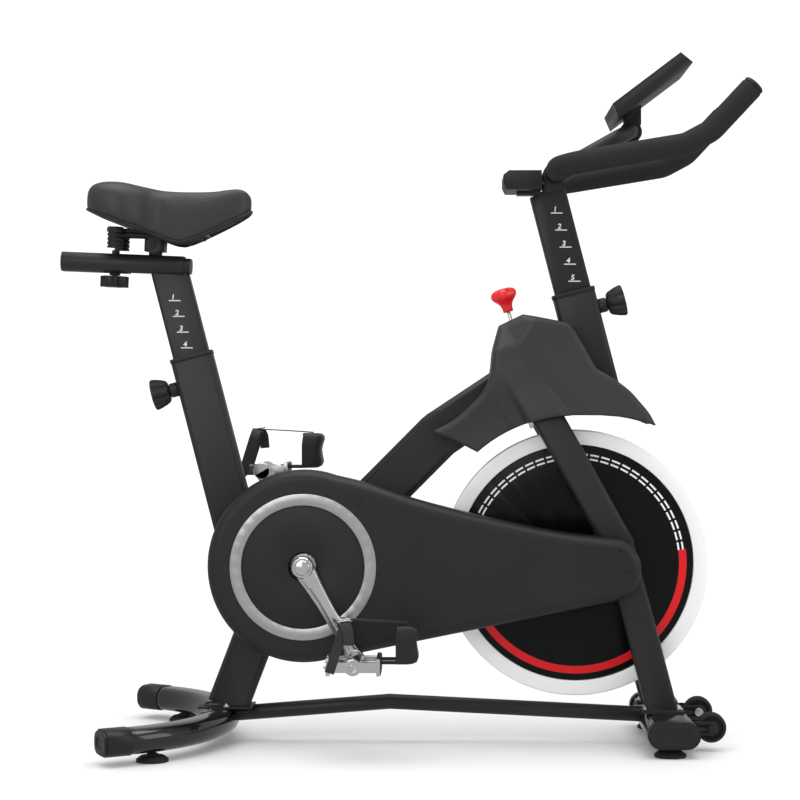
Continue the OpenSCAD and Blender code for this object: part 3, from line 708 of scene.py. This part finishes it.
# %% Saddle sections
SADDLE = [  # place along the bike, half width, underside, top
    (-515.5, 62, 871.5, 897), (-513, 76, 870.5, 907), (-507, 87, 868, 914), (-496, 96, 864, 918),
    (-480, 102, 858, 919.5), (-465, 104.5, 852, 919), (-451, 103, 846.5, 917.5), (-441, 97, 843, 915.5),
    (-431, 90, 839.5, 913.5), (-422, 80, 836, 912.5), (-413, 68, 832.5, 911), (-403, 59, 829, 909.5),
    (-392, 52.5, 824.5, 908), (-380, 48, 820.5, 907), (-366, 44.5, 818.5, 906.7), (-345, 40.5, 824.5, 906.7),
    (-325, 37, 833, 907.3), (-305, 34, 842, 909), (-288, 31, 850, 911.5), (-272, 27.5, 858, 913.5),
    (-262, 23, 863.5, 911.5), (-255, 17, 867.5, 906), (-251, 9, 871.5, 898)]
SECTION = [  # across, as a share of the half width, and up, as a share of the height
    (0.84, 0.0), (0.93, 0.015), (0.985, 0.09), (1.0, 0.28), (1.0, 0.48), (0.985, 0.66), (0.94, 0.81),
    (0.85, 0.925), (0.72, 0.985), (0.54, 1.0), (0.32, 0.985), (0.0, 0.965)]
HOLLOW_TOP = 849
INSET = 2.2


def saddle_ring(x, half, low, high):
    half, low, high = half - INSET, low + INSET * 0.4, high - INSET
    roof = (max(low + 7, HOLLOW_TOP) - low) / (high - low)
    side = [(0.62, roof * 0.85), (0.74, roof * 0.4), (0.80, 0.02)] + SECTION
    right = [(0.0, roof), (0.4, roof)] + side
    ring = [(-half * a, low + (high - low) * b) for a, b in right]
    ring += [(half * a, low + (high - low) * b) for a, b in right[-2:0:-1]]
    return [Vector((x, y, z)) * MM for y, z in ring]


stations = smooth_through(SADDLE, 3)
pad = assemble("saddle_pad", loft([saddle_ring(*s) for s in stations]))
print("saddle pad", len(pad.data.vertices), "points")

# %% [markdown]
# A cloth under pressure would go on growing into a balloon. So each point may move only as far as
# its own cap, and the movement is then averaged with that of its neighbours, which leaves no folds.

# %% Swelling the pad
CLOTH_FRAMES, EVENING_ROUNDS = 20, 12


def swollen(source, name, voxel, caps, pressure=2.0):
    """Remeshes a closed form and blows it up slightly as cloth, each point by no more than its cap."""
    remesh = source.modifiers.new("even", "REMESH")
    remesh.mode = "VOXEL"
    remesh.voxel_size = voxel
    ready = source.evaluated_get(bpy.context.evaluated_depsgraph_get())
    mesh = bpy.data.meshes.new_from_object(ready)
    bpy.data.objects.remove(source)
    piece = bpy.data.objects.new(name, mesh)
    bpy.context.scene.collection.objects.link(piece)
    ease = piece.modifiers.new("ease", "SMOOTH")
    ease.factor, ease.iterations = 0.5, 6
    ready = piece.evaluated_get(bpy.context.evaluated_depsgraph_get())
    piece.data = bpy.data.meshes.new_from_object(ready)
    piece.modifiers.clear()
    rest = np.array([v.co[:] for v in piece.data.vertices])
    cloth = piece.modifiers.new("cloth", "CLOTH")
    cloth.settings.use_pressure = True
    cloth.settings.uniform_pressure_force = pressure
    cloth.settings.effector_weights.gravity = 0
    cloth.settings.tension_stiffness = cloth.settings.compression_stiffness = 30
    cloth.point_cache.frame_start, cloth.point_cache.frame_end = 1, CLOTH_FRAMES
    for step in range(1, CLOTH_FRAMES + 1):
        bpy.context.scene.frame_set(step)
    ready = piece.evaluated_get(bpy.context.evaluated_depsgraph_get())
    shift = np.array([v.co[:] for v in ready.data.vertices]) - rest
    length = np.linalg.norm(shift, axis=1, keepdims=True) + 1e-9
    shift *= np.minimum(1.0, caps(rest)[:, None] / length)
    ends = np.array([e.vertices[:] for e in piece.data.edges])
    share = np.bincount(ends.ravel(), minlength=len(rest))[:, None]
    for _ in range(EVENING_ROUNDS):
        around_it = np.zeros_like(shift)
        np.add.at(around_it, ends[:, 0], shift[ends[:, 1]])
        np.add.at(around_it, ends[:, 1], shift[ends[:, 0]])
        shift = (shift + around_it / share) / 2
    piece.modifiers.clear()
    bpy.context.scene.frame_set(1)
    piece.data.vertices.foreach_set("co", (rest + shift).ravel())
    print(name, "swelled by up to", round(float(np.abs(shift).max()) * 1000, 1), "mm")
    fine = piece.modifiers.new("fine", "SUBSURF")
    fine.levels = fine.render_levels = 1
    return piece


def saddle_caps(points):
    """The top may rise most, and the rim that sits on the shell hardly at all."""
    up = np.clip((points[:, 2] - 0.86) / 0.04, 0, 1)
    return 0.0006 + 0.0014 * up


cushion = swollen(pad, "saddle_cushion_pad", 0.0042, saddle_caps)
hand_over(cushion, "saddle", saddle_leather, "saddle_leather", "saddle_cushion", smooth=180)

# %% [markdown]
# The cover is stapled under the shell, and a rolled lip of black plastic runs all round its lower
# edge. It follows a closed path, so the tube recipe makes it.

# %% Saddle lip
MIDDLE = -383


def lip_path():
    """Just inside the pad's lower edge: along one side of it and back along the other."""
    near = []
    for x, half, low, _ in stations[::2]:
        near.append(Vector((MIDDLE + (x - MIDDLE) * 0.985, 1 - half * 0.93, low + 2.4)) * MM)
    far = [Vector((p.x, -p.y, p.z)) for p in reversed(near)]
    return near + far


lip_points = lip_path()
lip_edges = chain(lip_points) + [(len(lip_points) - 1, 0)]
lip = bent_tube.grow("saddle_lip", lip_points, lip_edges, bend=0.004, radius=0.0028, steps=3,
                     finish=black_plastic)
hand_over(lip, "saddle", None, "black_plastic", smooth=180)

# %% [markdown]
# ## Shroud over the fork
# Two moulded halves meet on the middle line and hide where the fork, the frame and the head tube
# join. The outline is filled with an even net of triangles, and each point is then pushed sideways:
# a soft shoulder along the rim, a flat facet by the brake rod, and a fairing that swells over the
# fork leg, with a valley behind it. The roof is a strip that runs from the rim to the middle line.

# %% Shroud outline
BACK = [
    (50, 512), (80, 528), (107, 551), (126, 571), (137, 590), (143, 610), (146, 640), (151, 662), (157, 684)]
ROOF = [
    (160.9, 685.8), (168, 689.2), (176, 693), (195, 702), (219, 697.5), (243, 692.8), (262, 689), (271, 685)]
FRONT = [
    (280, 673), (297, 643), (311, 618), (318, 611), (332, 603), (349, 592), (368, 577), (386, 557),
    (399, 541), (409, 523)]
LOW_FRONT = [(392, 528), (376, 532), (348, 536.5), (320, 538.6), (291, 538.8)]
LOW_BACK = (98, 490)


def arch(radius, first, last, steps):
    """Points on a circle about the flywheel's axle."""
    return [(282 + radius * math.cos(math.radians(a)), 296 + radius * math.sin(math.radians(a)))
            for a in np.linspace(first, last, steps)]


def finer(points, step):
    out = []
    for a, b in zip(points, points[1:]):
        count = max(1, round(math.dist(a, b) / step))
        out += [(a[0] + (b[0] - a[0]) * k / count, a[1] + (b[1] - a[1]) * k / count) for k in range(count)]
    return out + [points[-1]]


top_edge = finer(smooth_through(BACK, 3) + ROOF + smooth_through(FRONT, 3), 4.5)
low_edge = [top_edge[-1]] + LOW_FRONT + arch(243.5, 95, 131.5, 12) + [LOW_BACK, top_edge[0]]
low_edge = finer(low_edge, 4.5)[1:-1]
outline = top_edge + low_edge
print("shroud outline", len(outline), "points")

# %% [markdown]
# The depth of the skin is worked out for each point of the outline's plane. Over the fork leg it has
# to stay outside the steel, so the swelling follows the leg's own line; behind the leg it falls away
# in two soft steps.

# %% Shroud surface
def soft_step(value, low, high):
    t = min(1.0, max(0.0, (value - low) / (high - low)))
    return t * t * (3 - 2 * t)


def from_line(point, a, b):
    """Distance from the line a to b, positive on its left, and the share along it."""
    dx, dz = b[0] - a[0], b[1] - a[1]
    px, pz = point[0] - a[0], point[1] - a[1]
    size = math.hypot(dx, dz)
    return (dx * pz - dz * px) / size, (px * dx + pz * dz) / size**2


LEG_TOP, LEG_KINK = (200, 596), (349, 331)


def shroud_depth(point):
    """How far out from the middle line the skin lies."""
    depth = 64.0
    gap_a, _ = from_line(point, (187, 653), (215, 694))
    gap_b, _ = from_line(point, (150, 640), (187, 653))
    depth -= 0.62 * max(0.0, min(gap_a, gap_b) - 1)
    behind, down = from_line(point, LEG_TOP, LEG_KINK)
    behind = -behind
    ahead, _ = from_line(point, (189, 647), (272, 540))
    rise = 3 + 9 * soft_step(down, -0.05, 0.25)
    swell = (1 - soft_step(behind, 25, 38)) * (1 - soft_step(ahead, -12, 2)) * soft_step(down, -0.16, -0.02)
    depth += rise * swell
    depth -= soft_step(down, -0.12, 0.12) * (8 * soft_step(behind, 27, 39) + 7 * soft_step(behind, 52, 66))
    rim = min(math.dist(point, p) for p in top_edge)
    return depth - 5.0 * (1 - min(1.0, rim / 9)) ** 2


def inner_reach(point):
    """Where the roof strip ends: at the middle line, or beside what passes through it."""
    x, z = point
    if x < 140 or x > 262:
        return 23.0
    rod_gap = abs(from_line(point, (167, 728), (224, 533))[0])
    return 6.0 if rod_gap < 8 else 0.3


def shroud_half(side):
    step, inside = 5.0, []
    ring = np.array(outline)
    for i, x in enumerate(np.arange(50, 410, step)):
        for z in np.arange(485 + (i % 2) * step / 2, 703, step):
            crossing = sum((a[1] > z) != (b[1] > z) and x < (b[0] - a[0]) * (z - a[1]) / (b[1] - a[1]) + a[0]
                           for a, b in zip(outline, outline[1:] + outline[:1]))
            if crossing % 2 and np.min(np.hypot(ring[:, 0] - x, ring[:, 1] - z)) > step * 0.6:
                inside.append((x, z))
    flat = [Vector(p) for p in outline + inside]
    loop = list(range(len(outline)))
    verts, _, faces, _, _, _ = delaunay_2d_cdt(flat, [], [loop], 1, 1e-5)
    skin = [Vector((p[0], side * shroud_depth(p), p[1])) * MM for p in verts]
    rows = []
    for share in (0.0, 0.04, 0.1, 0.35, 0.7, 1.0):
        row = []
        for p in top_edge:
            outer = shroud_depth(p)
            lift = 0.0 if share == 0 else 1.2
            y = outer + (inner_reach(p) - outer) * share
            row.append(Vector((p[0] - 0.35 * lift, side * y, p[1] + lift)) * MM)
        rows.append(row)
    name = "shroud_half_" + ("right" if side < 0 else "left")
    half = assemble(name, (skin, faces), loft(rows, closed=False), outward=(0, side, 0), merge=4e-5)
    shell(half, 2.6)
    return half


for side, name in ((-1, "right"), (1, "left")):
    hand_over(shroud_half(side), "frame", shroud_plastic, "shroud_plastic", "shroud_" + name, smooth=50)

# %% [markdown]
# ## Belt cover
# The cover over the belt is a deep moulding with a broad rounded shoulder. Its outline is a large
# circle about the crank and a small one at the flywheel's axle. Rings of that outline, each drawn in
# a little more, make the shoulder, and the face is filled round the opening for the bright ring.

# %% Belt cover
COVER_BACK, COVER_FACE = -62.5, -105
BIG, NOSE = (-160, 296), (331, 292)
BIG_R, NOSE_R, OPENING_R = 155, 52, 99.3


def around(centre, radius, first, last, step=3.0):
    count = max(2, int(abs(last - first) / step))
    return [(centre[0] + radius * math.cos(math.radians(a)), centre[1] + radius * math.sin(math.radians(a)))
            for a in np.linspace(first, last, count)]


def cover_outline():
    waist = [(50, 146.5), (94, 136), (140, 121.5), (188, 106), (285, 81.5), (383, 61), (440, 51.5)]
    waist = smooth_through([(BIG[0] + x, BIG[1] + z) for x, z in waist], 7)
    return around(BIG, BIG_R, 282, 71) + waist[1:] + around(NOSE, NOSE_R, 66, -79)


def drawn_in(points, d):
    out = []
    for a, p, b in zip(points[-1:] + points[:-1], points, points[1:] + points[:1]):
        t = (Vector(b) - Vector(a)).normalized()
        out.append((p[0] + d * t.y, p[1] - d * t.x))
    return out


def belt_cover():
    edge = cover_outline()
    turns = [(0, COVER_BACK), (0, -88), (0.6, -92.5), (2.4, -96.8), (5.4, -100.4), (9.2, -103),
             (13.2, -104.5), (17, COVER_FACE)]
    rings = [[Vector((x, y, z)) * MM for x, z in drawn_in(edge, d)] for d, y in turns]
    rim = drawn_in(edge, turns[-1][0])
    hole = around(BIG, OPENING_R, 0, 356.4, 3.6)
    flat = [Vector(p) for p in rim + hole]
    cuts = [(len(rim) + i, len(rim) + (i + 1) % len(hole)) for i in range(len(hole))]
    verts, _, faces, _, _, _ = delaunay_2d_cdt(flat, cuts, [list(range(len(rim)))], 1, 1e-5)
    middles = [sum((verts[i] for i in f), Vector((0, 0))) / len(f) for f in faces]
    kept = [f for f, middle in zip(faces, middles) if math.dist(middle, BIG) > OPENING_R - 1]
    face = [Vector((p.x, COVER_FACE, p.y)) * MM for p in verts]
    well = [[Vector((x, y, z)) * MM for x, z in hole] for y in (COVER_FACE, COVER_FACE + 3.5)]
    shapes = loft(rings, caps=False), (face, kept), loft(well, caps=False)
    cover = assemble("belt_cover_moulding", *shapes, merge=2e-5)
    nearest = min(cover.data.polygons, key=lambda p: p.center.y - p.area)
    if nearest.normal.y > 0:
        cover.data.flip_normals()
    shell(cover, 2.4)
    return cover


cover = hand_over(belt_cover(), "frame", cover_plastic, "cover_plastic", "belt_cover_outer", smooth=42)
for polygon in cover.data.polygons:
    polygon.use_smooth = polygon.normal.y > -0.9995

# %% [markdown]
# ## Cranks
# A forged crank arm is ridged along its middle: one flank catches the light and the other is dark.
# It is a loft from the boss to the pedal's eye, with a domed dust cap over the axle bolt.

# %% Crank arms
ARM_IN, ARM_T = 110, 13
ARM = [(0, 17), (16, 16.5), (34, 14.5), (60, 12.8), (110, 11.4), (146, 11.2), (160, 12.6), (168, 13)]
RIDGE = [(-1, 0), (-1, 0.30), (-0.84, 0.58), (-0.16, 1.0), (0.10, 1.0), (0.82, 0.62), (1, 0.32), (1, 0)]


def crank_arm(side, name):
    pedal = joint_at("pedal_%s_spin" % name)
    pedal.y = 0
    start = Vector((CRANK.x, 0, CRANK.z))
    along = (pedal - start).normalized()
    out = Vector((0, side, 0))
    across = along.cross(Vector((0, 1, 0)))
    if across.x * along.z > 0:
        across = -across
    base = start + out * ARM_IN * MM
    rings = []
    for d, half in ARM:
        at = base + along * d * MM
        rings.append([at + across * a * half * MM + out * b * ARM_T * MM for a, b in RIDGE])
    boss = turned([(0, -3), (16, -3), (18, 0), (18.4, 6), (17.6, 11), (15.6, 13.4), (0, 13.6)], base, out)
    cap = turned([(0, 13), (12.6, 13), (12.6, 14.2), (11.2, 16.0), (7.5, 17.4), (0, 18)], base, out)
    eye_at = pedal + out * ARM_IN * MM
    eye = turned([(0, 0), (13.4, 0), (14.4, 1.5), (14.4, 10.5), (13.4, 12), (0, 12)], eye_at, out)
    spindle = turned([(0, 11), (10, 11), (10, 16), (6, 16), (6, 113), (4.5, 114), (0, 114)], eye_at, out, 32)
    arm = assemble("crank_arm_" + name, loft(rings), boss, cap, eye, spindle)
    round_edges(arm, 0.7, 2, 30)
    return hand_over(arm, "crank", bright_steel, "bright_steel", "crank_" + name)


for side, name in ((-1, "right"), (1, "left")):
    crank_arm(side, name)

# %% [markdown]
# ## Toe cages and straps
# A moulded cage holds the front of the shoe: a waisted band that wraps round the toe and closes over
# it. A nylon strap leans up both sides of the pedal, meets in a wire buckle, and leaves a loose tail
# on the outside. Straps are thin, so they are ribbons swept along given paths.

# %% Cage and strap
CAGE = [  # height, front, half width, back
    (4, 93, 35, 66), (7, 99, 38, 66), (14, 101.5, 38, 66), (24, 99.5, 38, 66), (34, 98, 38, 66),
    (44, 100, 38, 66), (53, 103, 37.5, 67), (59, 102, 36, 68), (62.4, 98, 33, 68), (63.4, 92, 28, 67),
    (63.6, 84, 20, 66)]


def cage_band(height, front, half, back):
    r = 13
    right = [(back, -half), (back + 8, -half), (front - r, -half)]
    corner = np.linspace(0.25, math.pi / 2, 6)
    right += [(front - r + r * math.sin(a), -half + r - r * math.cos(a)) for a in corner]
    left = [(x, -y) for x, y in reversed(right)]
    return [Vector((x, y, height)) * MM for x, y in right + [(front, 0)] + left]


def ribbon(path, side_way, width, thickness):
    """A flat strap along a path, as wide as side_way says."""
    rings = []
    for i, p in enumerate(path):
        ahead = (path[min(i + 1, len(path) - 1)] - path[max(i - 1, 0)]).normalized()
        wide = (side_way - ahead * side_way.dot(ahead)).normalized()
        thick = ahead.cross(wide)
        corners = ((-1, -1), (1, -1), (1, 1), (-1, 1))
        rings.append([p + wide * a * width * MM / 2 + thick * b * thickness * MM / 2 for a, b in corners])
    return loft(rings)


def strap_path():
    """Up one side of the pedal, over the foot and down the other, leaning forward as it rises."""
    half = [(45, -8), (46.5, 10), (47, 50), (46, 58), (42, 64), (34, 67)]
    points = smooth_through([(-y, z) for y, z in half] + [(0, 69)] + half[::-1], 4)
    return [Vector((-36 + 0.31 * (z + 8), y, z)) * MM for y, z in points]


def pedal_dress(side, name):
    at = joint_at("pedal_%s_spin" % name)
    at = Vector((at.x, side * 0.181, at.z))
    band = loft([cage_band(*row) for row in CAGE], closed=False)
    cage = assemble("toe_cage_band_" + name, moved(band, at), outward=(1, 0, 0.2))
    shell(cage, 3.0)
    round_edges(cage, 0.8, 2)
    hand_over(cage, "pedal_" + name, black_plastic, "black_plastic", "toe_cage_" + name, smooth=50)
    bars_under = [moved(block((41.5, s * 22 - 7, 3.6), (72, s * 22 + 7, 7.6)), at) for s in (-1, 1)]
    bars_under.append(moved(block((41.6, -40, -12), (43.4, 40, 12)), at))
    plate = assemble("cage_bars_" + name, *bars_under)
    round_edges(plate, 0.6, 2)
    hand_over(plate, "pedal_" + name, black_plastic, "black_plastic")
    lean = Vector((1, 0, -0.31)).normalized()
    over = [Vector((x, 0, z)) * MM for x, z in ((-16, 70.4), (0, 70), (40, 68), (70, 66), (84, 65))]
    drop = ((-13, 40, 67.5), (-10, 46, 65), (-7, 49.5, 58), (-6, 50.5, 48), (-5, 51, 36))
    tail = [Vector((x, side * y, z)) * MM for x, y, z in drop]
    straps = [ribbon(strap_path(), lean, 15, 1.8), ribbon(over, Vector((0, 1, 0)), 16, 1.6),
              ribbon(tail, Vector((1, 0, 0)), 16, 1.8)]
    strap = assemble("toe_strap_band_" + name, *[moved(s, at) for s in straps])
    hand_over(strap, "pedal_" + name, strap_webbing, "webbing", "toe_strap_" + name)
    y = side * 26
    corners = [(-24, y - 11), (-4, y - 11), (-4, y + 11), (-24, y + 11)]
    wire = [Vector((x, v, 71.5 + (x + 14) * 0.12)) * MM + at for x, v in corners]
    edges = chain(wire) + [(3, 0)]
    buckle = bent_tube.grow("strap_buckle_" + name, wire, edges, bend=0.003, radius=0.0014, steps=4,
                            finish=zinc)
    hand_over(buckle, "pedal_" + name, None, "zinc")


for side, name in ((-1, "right"), (1, "left")):
    pedal_dress(side, name)

# %% [markdown]
# ## Knobs
# The two height knobs are flared cones with deep flutes for the fingers. The brake knob is a red
# mushroom with a lobed rim and a neck that narrows to the rod. All three are turned shapes whose
# radius also varies with the angle.

# %% Knobs
LEAN = math.radians(14.5)
POST_WAY = Vector((-math.sin(LEAN), 0, math.cos(LEAN)))
OUT_WAY = Vector((math.cos(LEAN), 0, math.sin(LEAN)))
SEAT_DROP, BAR_DROP = 0.042, 0.028
KNOB = [
    (0, 30.3), (4.9, 30.3), (4.9, 48.6), (9.5, 48.6), (10.5, 50), (15, 50.6), (18.4, 53), (21, 58.5),
    (23.6, 66), (25.6, 74), (25.4, 77.2), (23.4, 78.4), (9, 76.6), (0, 76.6)]
CAP = [
    (0, -20.5), (7.6, -20.5), (8.4, -19.5), (8.8, -13), (10.2, -8), (13.4, -3.5), (18.4, 0.5),
    (21.6, 4.5), (22.8, 8.5), (22.2, 12.5), (18.6, 16.4), (11.5, 18.8), (0, 19.6)]


def fluted(count, depth, low, high):
    def flute(angle, along):
        if not low < along < high:
            return 1.0
        return 1.0 - depth * (0.5 - 0.5 * math.cos(count * angle)) ** 1.6
    return flute


def height_knob(name, node, body, foot, way):
    knob = assemble(name, turned(KNOB, foot, way, 96, fluted(8, 0.15, 51, 78)))
    hand_over(knob, body, black_plastic, "black_plastic", node, smooth=45)


seat_foot = Vector((-0.350, 0, 0.631)) - POST_WAY * SEAT_DROP
bar_foot = Vector((0.280, 0, 0.736)) - POST_WAY * BAR_DROP
height_knob("seat_knob_fluted", "seat_knob", "seat_knob", seat_foot, -OUT_WAY)
height_knob("handlebar_knob_fluted", "handlebar_knob", "handlebar_knob", bar_foot, OUT_WAY)
rod_way = -joint_axis("brake_push")
if rod_way.z < 0:
    rod_way = -rod_way
mushroom = turned(CAP, joint_at("resistance_turn"), rod_way, 96, fluted(6, 0.075, -1, 17))
red_cap = assemble("brake_knob_cap", mushroom)
hand_over(red_cap, "resistance_knob", red_gloss, "red_plastic", "resistance_knob", smooth=60)

# %% [markdown]
# ## Scales on the posts
# Each post is marked with numbered lines, so that a rider finds their height again. The lines are
# bars set out by Geometry Nodes, and the numerals are text that is turned into a mesh. Both stand a
# tenth of a millimetre proud of the paint.

# %% Post scales
def scale_marks(name, body, first, pitch, count, face_y):
    """Lines and numerals down a leaning post, on its right face."""
    spots = [Vector(first) - POST_WAY * pitch * MM * i for i in range(count)]
    skin = face_y * MM - 0.00008
    lines = bars.grow(name + "_lines", [Vector((p.x, skin, p.z)) for p in spots], [],
                      long=0.0195, wide=0.0003, high=0.0017, finish=print_white)
    hand_over(lines, body, None, None)
    shapes = []
    for i, spot in enumerate(spots):
        text = bpy.data.curves.new("numeral", "FONT")
        text.body, text.align_x = str(i + 1), "CENTER"
        text.size, text.shear, text.extrude, text.offset = 0.0118, 0.12, 0.00012, 0.00035
        glyph = bpy.data.objects.new("numeral", text)
        bpy.context.scene.collection.objects.link(glyph)
        ready = glyph.evaluated_get(bpy.context.evaluated_depsgraph_get())
        mesh = bpy.data.meshes.new_from_object(ready)
        bpy.data.objects.remove(glyph)
        points = [Vector((v.co.x - 0.003 + spot.x, skin - v.co.z, v.co.y + spot.z + 0.0022))
                  for v in mesh.vertices]
        shapes.append((points, [tuple(p.vertices) for p in mesh.polygons]))
    hand_over(assemble(name + "_numerals", *shapes), body, print_white, None, smooth=20)


scale_marks("seat_scale", "seat_post", (-0.3776, 0, 0.727), 26.8, 4, -15)
scale_marks("bar_scale", "handlebar", (0.2512, 0, 0.8702), 28.9, 5, -15)

# %% [markdown]
# ## Console and tray
# The console has a small grey display on its sloping top, and the tray has rubber ribs that keep a
# tablet from sliding. The ribs repeat, so the bar recipe lays them out.

# %% Display and ribs
glass = assemble("console_display", block((184, -34, 935.9), (216, 34, 937.3)))
round_edges(glass, 0.5, 2)
hand_over(glass, "handlebar", display, None)


def tray_ribs():
    tilt = math.radians(37)
    along = Vector((math.cos(tilt), 0, math.sin(tilt)))
    off = Vector((-math.sin(tilt), 0, math.cos(tilt)))
    foot = Vector((0.347, 0, 1.016))
    turn = Matrix((along, Vector((0, 1, 0)), off)).transposed()
    spots = [Vector((x * MM, 0, 9.6 * MM)) for x in range(30, 130, 14)]
    ribs = bars.grow("tray_ribs", spots, [], long=0.004, wide=0.140, high=0.0016, finish=rubber)
    for v in ribs.data.vertices:
        v.co = foot + turn @ v.co
    return hand_over(ribs, "tablet_tray", None, "rubber")


tray_ribs()

# %% [markdown]
# ## Welds
# Where a tube stands on its foot plate, the welder's torch leaves a row of small overlapping beads.
# They are spheres set along the joint at the pitch of the weld, each a little different in size, and
# painted over with the frame.

# %% Weld beads
SQUARENESS = 0.22
TUBE_FEET = ((-291.5, 0, 37, 20, 59.5), (420.5, -49.5, 25.5, 12.6, 60.5), (420.5, 49.5, 25.5, 12.6, 60.5))


def foot_weld(centre, half_x, half_y, height):
    """A closed path round the foot of a square tube."""
    ring = []
    for a in np.linspace(0, math.tau, 40, endpoint=False):
        c, s = math.cos(a), math.sin(a)
        ring.append(Vector((centre[0] + half_x * math.copysign(abs(c) ** SQUARENESS, c),
                            centre[1] + half_y * math.copysign(abs(s) ** SQUARENESS, s), height)) * MM)
    return ring, chain(ring) + [(len(ring) - 1, 0)]


welds, weld_edges = [], []
for x, y, half_x, half_y, z in TUBE_FEET:
    ring, edges = foot_weld((x, y), half_x, half_y, z)
    weld_edges += [(a + len(welds), b + len(welds)) for a, b in edges]
    welds += ring
beads = weld_beads.grow("weld_beads", welds, weld_edges, radius=0.0017, pitch=0.0024, finish=frame_paint)
hand_over(beads, "frame", None, "frame_paint", smooth=180)

# %% [markdown]
# ## The studio
# A white sweep stands under and behind the bike, lit by one large soft lamp overhead and two weaker
# ones. Black paint shows what it mirrors, so the room that the surfaces mirror is dimmer than the
# room that lights them: round tubes then have dark edges, as they have between black flags.

# %% Studio
def sweep_floor():
    near, far, side, radius, height = -5.0, 3.2, 7.0, 1.6, 5.0
    profile = [(near, 0.0)]
    for i in range(17):
        a = math.radians(90 * i / 16)
        profile.append((far - radius + radius * math.sin(a), radius - radius * math.cos(a)))
    profile.append((far, height))
    points = [(x, y, z) for y, z in profile for x in (-side, side)]
    faces = [(2 * i, 2 * i + 1, 2 * i + 3, 2 * i + 2) for i in range(len(profile) - 1)]
    mesh = bpy.data.meshes.new("studio_sweep")
    mesh.from_pydata(points, [], faces)
    for polygon in mesh.polygons:
        polygon.use_smooth = True
    floor = bpy.data.objects.new("studio_sweep", mesh)
    bpy.context.scene.collection.objects.link(floor)
    paint = Paint("studio_white", Roughness=0.42)
    paint.drive("Base Color", paint.blend(paint.noise(paint.place(), 3.0), grey(0.92), grey(0.94)))
    floor.data.materials.append(paint.material)
    floor.visible_glossy = False


def soft_lamp(name, at, towards, size, watts):
    data = bpy.data.lights.new(name, "AREA")
    data.shape = "RECTANGLE"
    data.size, data.size_y = size
    data.energy = watts
    lamp = bpy.data.objects.new(name, data)
    lamp.location = at
    lamp.rotation_euler = (Vector(towards) - Vector(at)).to_track_quat("-Z", "Y").to_euler()
    bpy.context.scene.collection.objects.link(lamp)


sweep_floor()
soft_lamp("lamp_overhead", (0.0, -0.2, 3.2), (0, 0, 0.4), (3.4, 2.6), 58)
soft_lamp("lamp_front", (-1.6, -3.6, 1.9), (0, 0, 0.6), (2.2, 2.2), 22)
soft_lamp("lamp_side", (3.4, -1.6, 1.6), (0, 0, 0.5), (1.6, 2.2), 16)
world = bpy.data.worlds.new("studio_air")
bpy.context.scene.world = world
world.use_nodes = True
world.node_tree.nodes["Background"].inputs["Color"].default_value = (1, 1, 1, 1)
ray = world.node_tree.nodes.new("ShaderNodeLightPath")
strength = world.node_tree.nodes.new("ShaderNodeMapRange")
strength.inputs["To Min"].default_value, strength.inputs["To Max"].default_value = 0.98, 0.42
world.node_tree.links.new(ray.outputs["Is Glossy Ray"], strength.inputs["Value"])
world.node_tree.links.new(strength.outputs[0], world.node_tree.nodes["Background"].inputs["Strength"])
bpy.context.scene.view_settings.view_transform = "Standard"
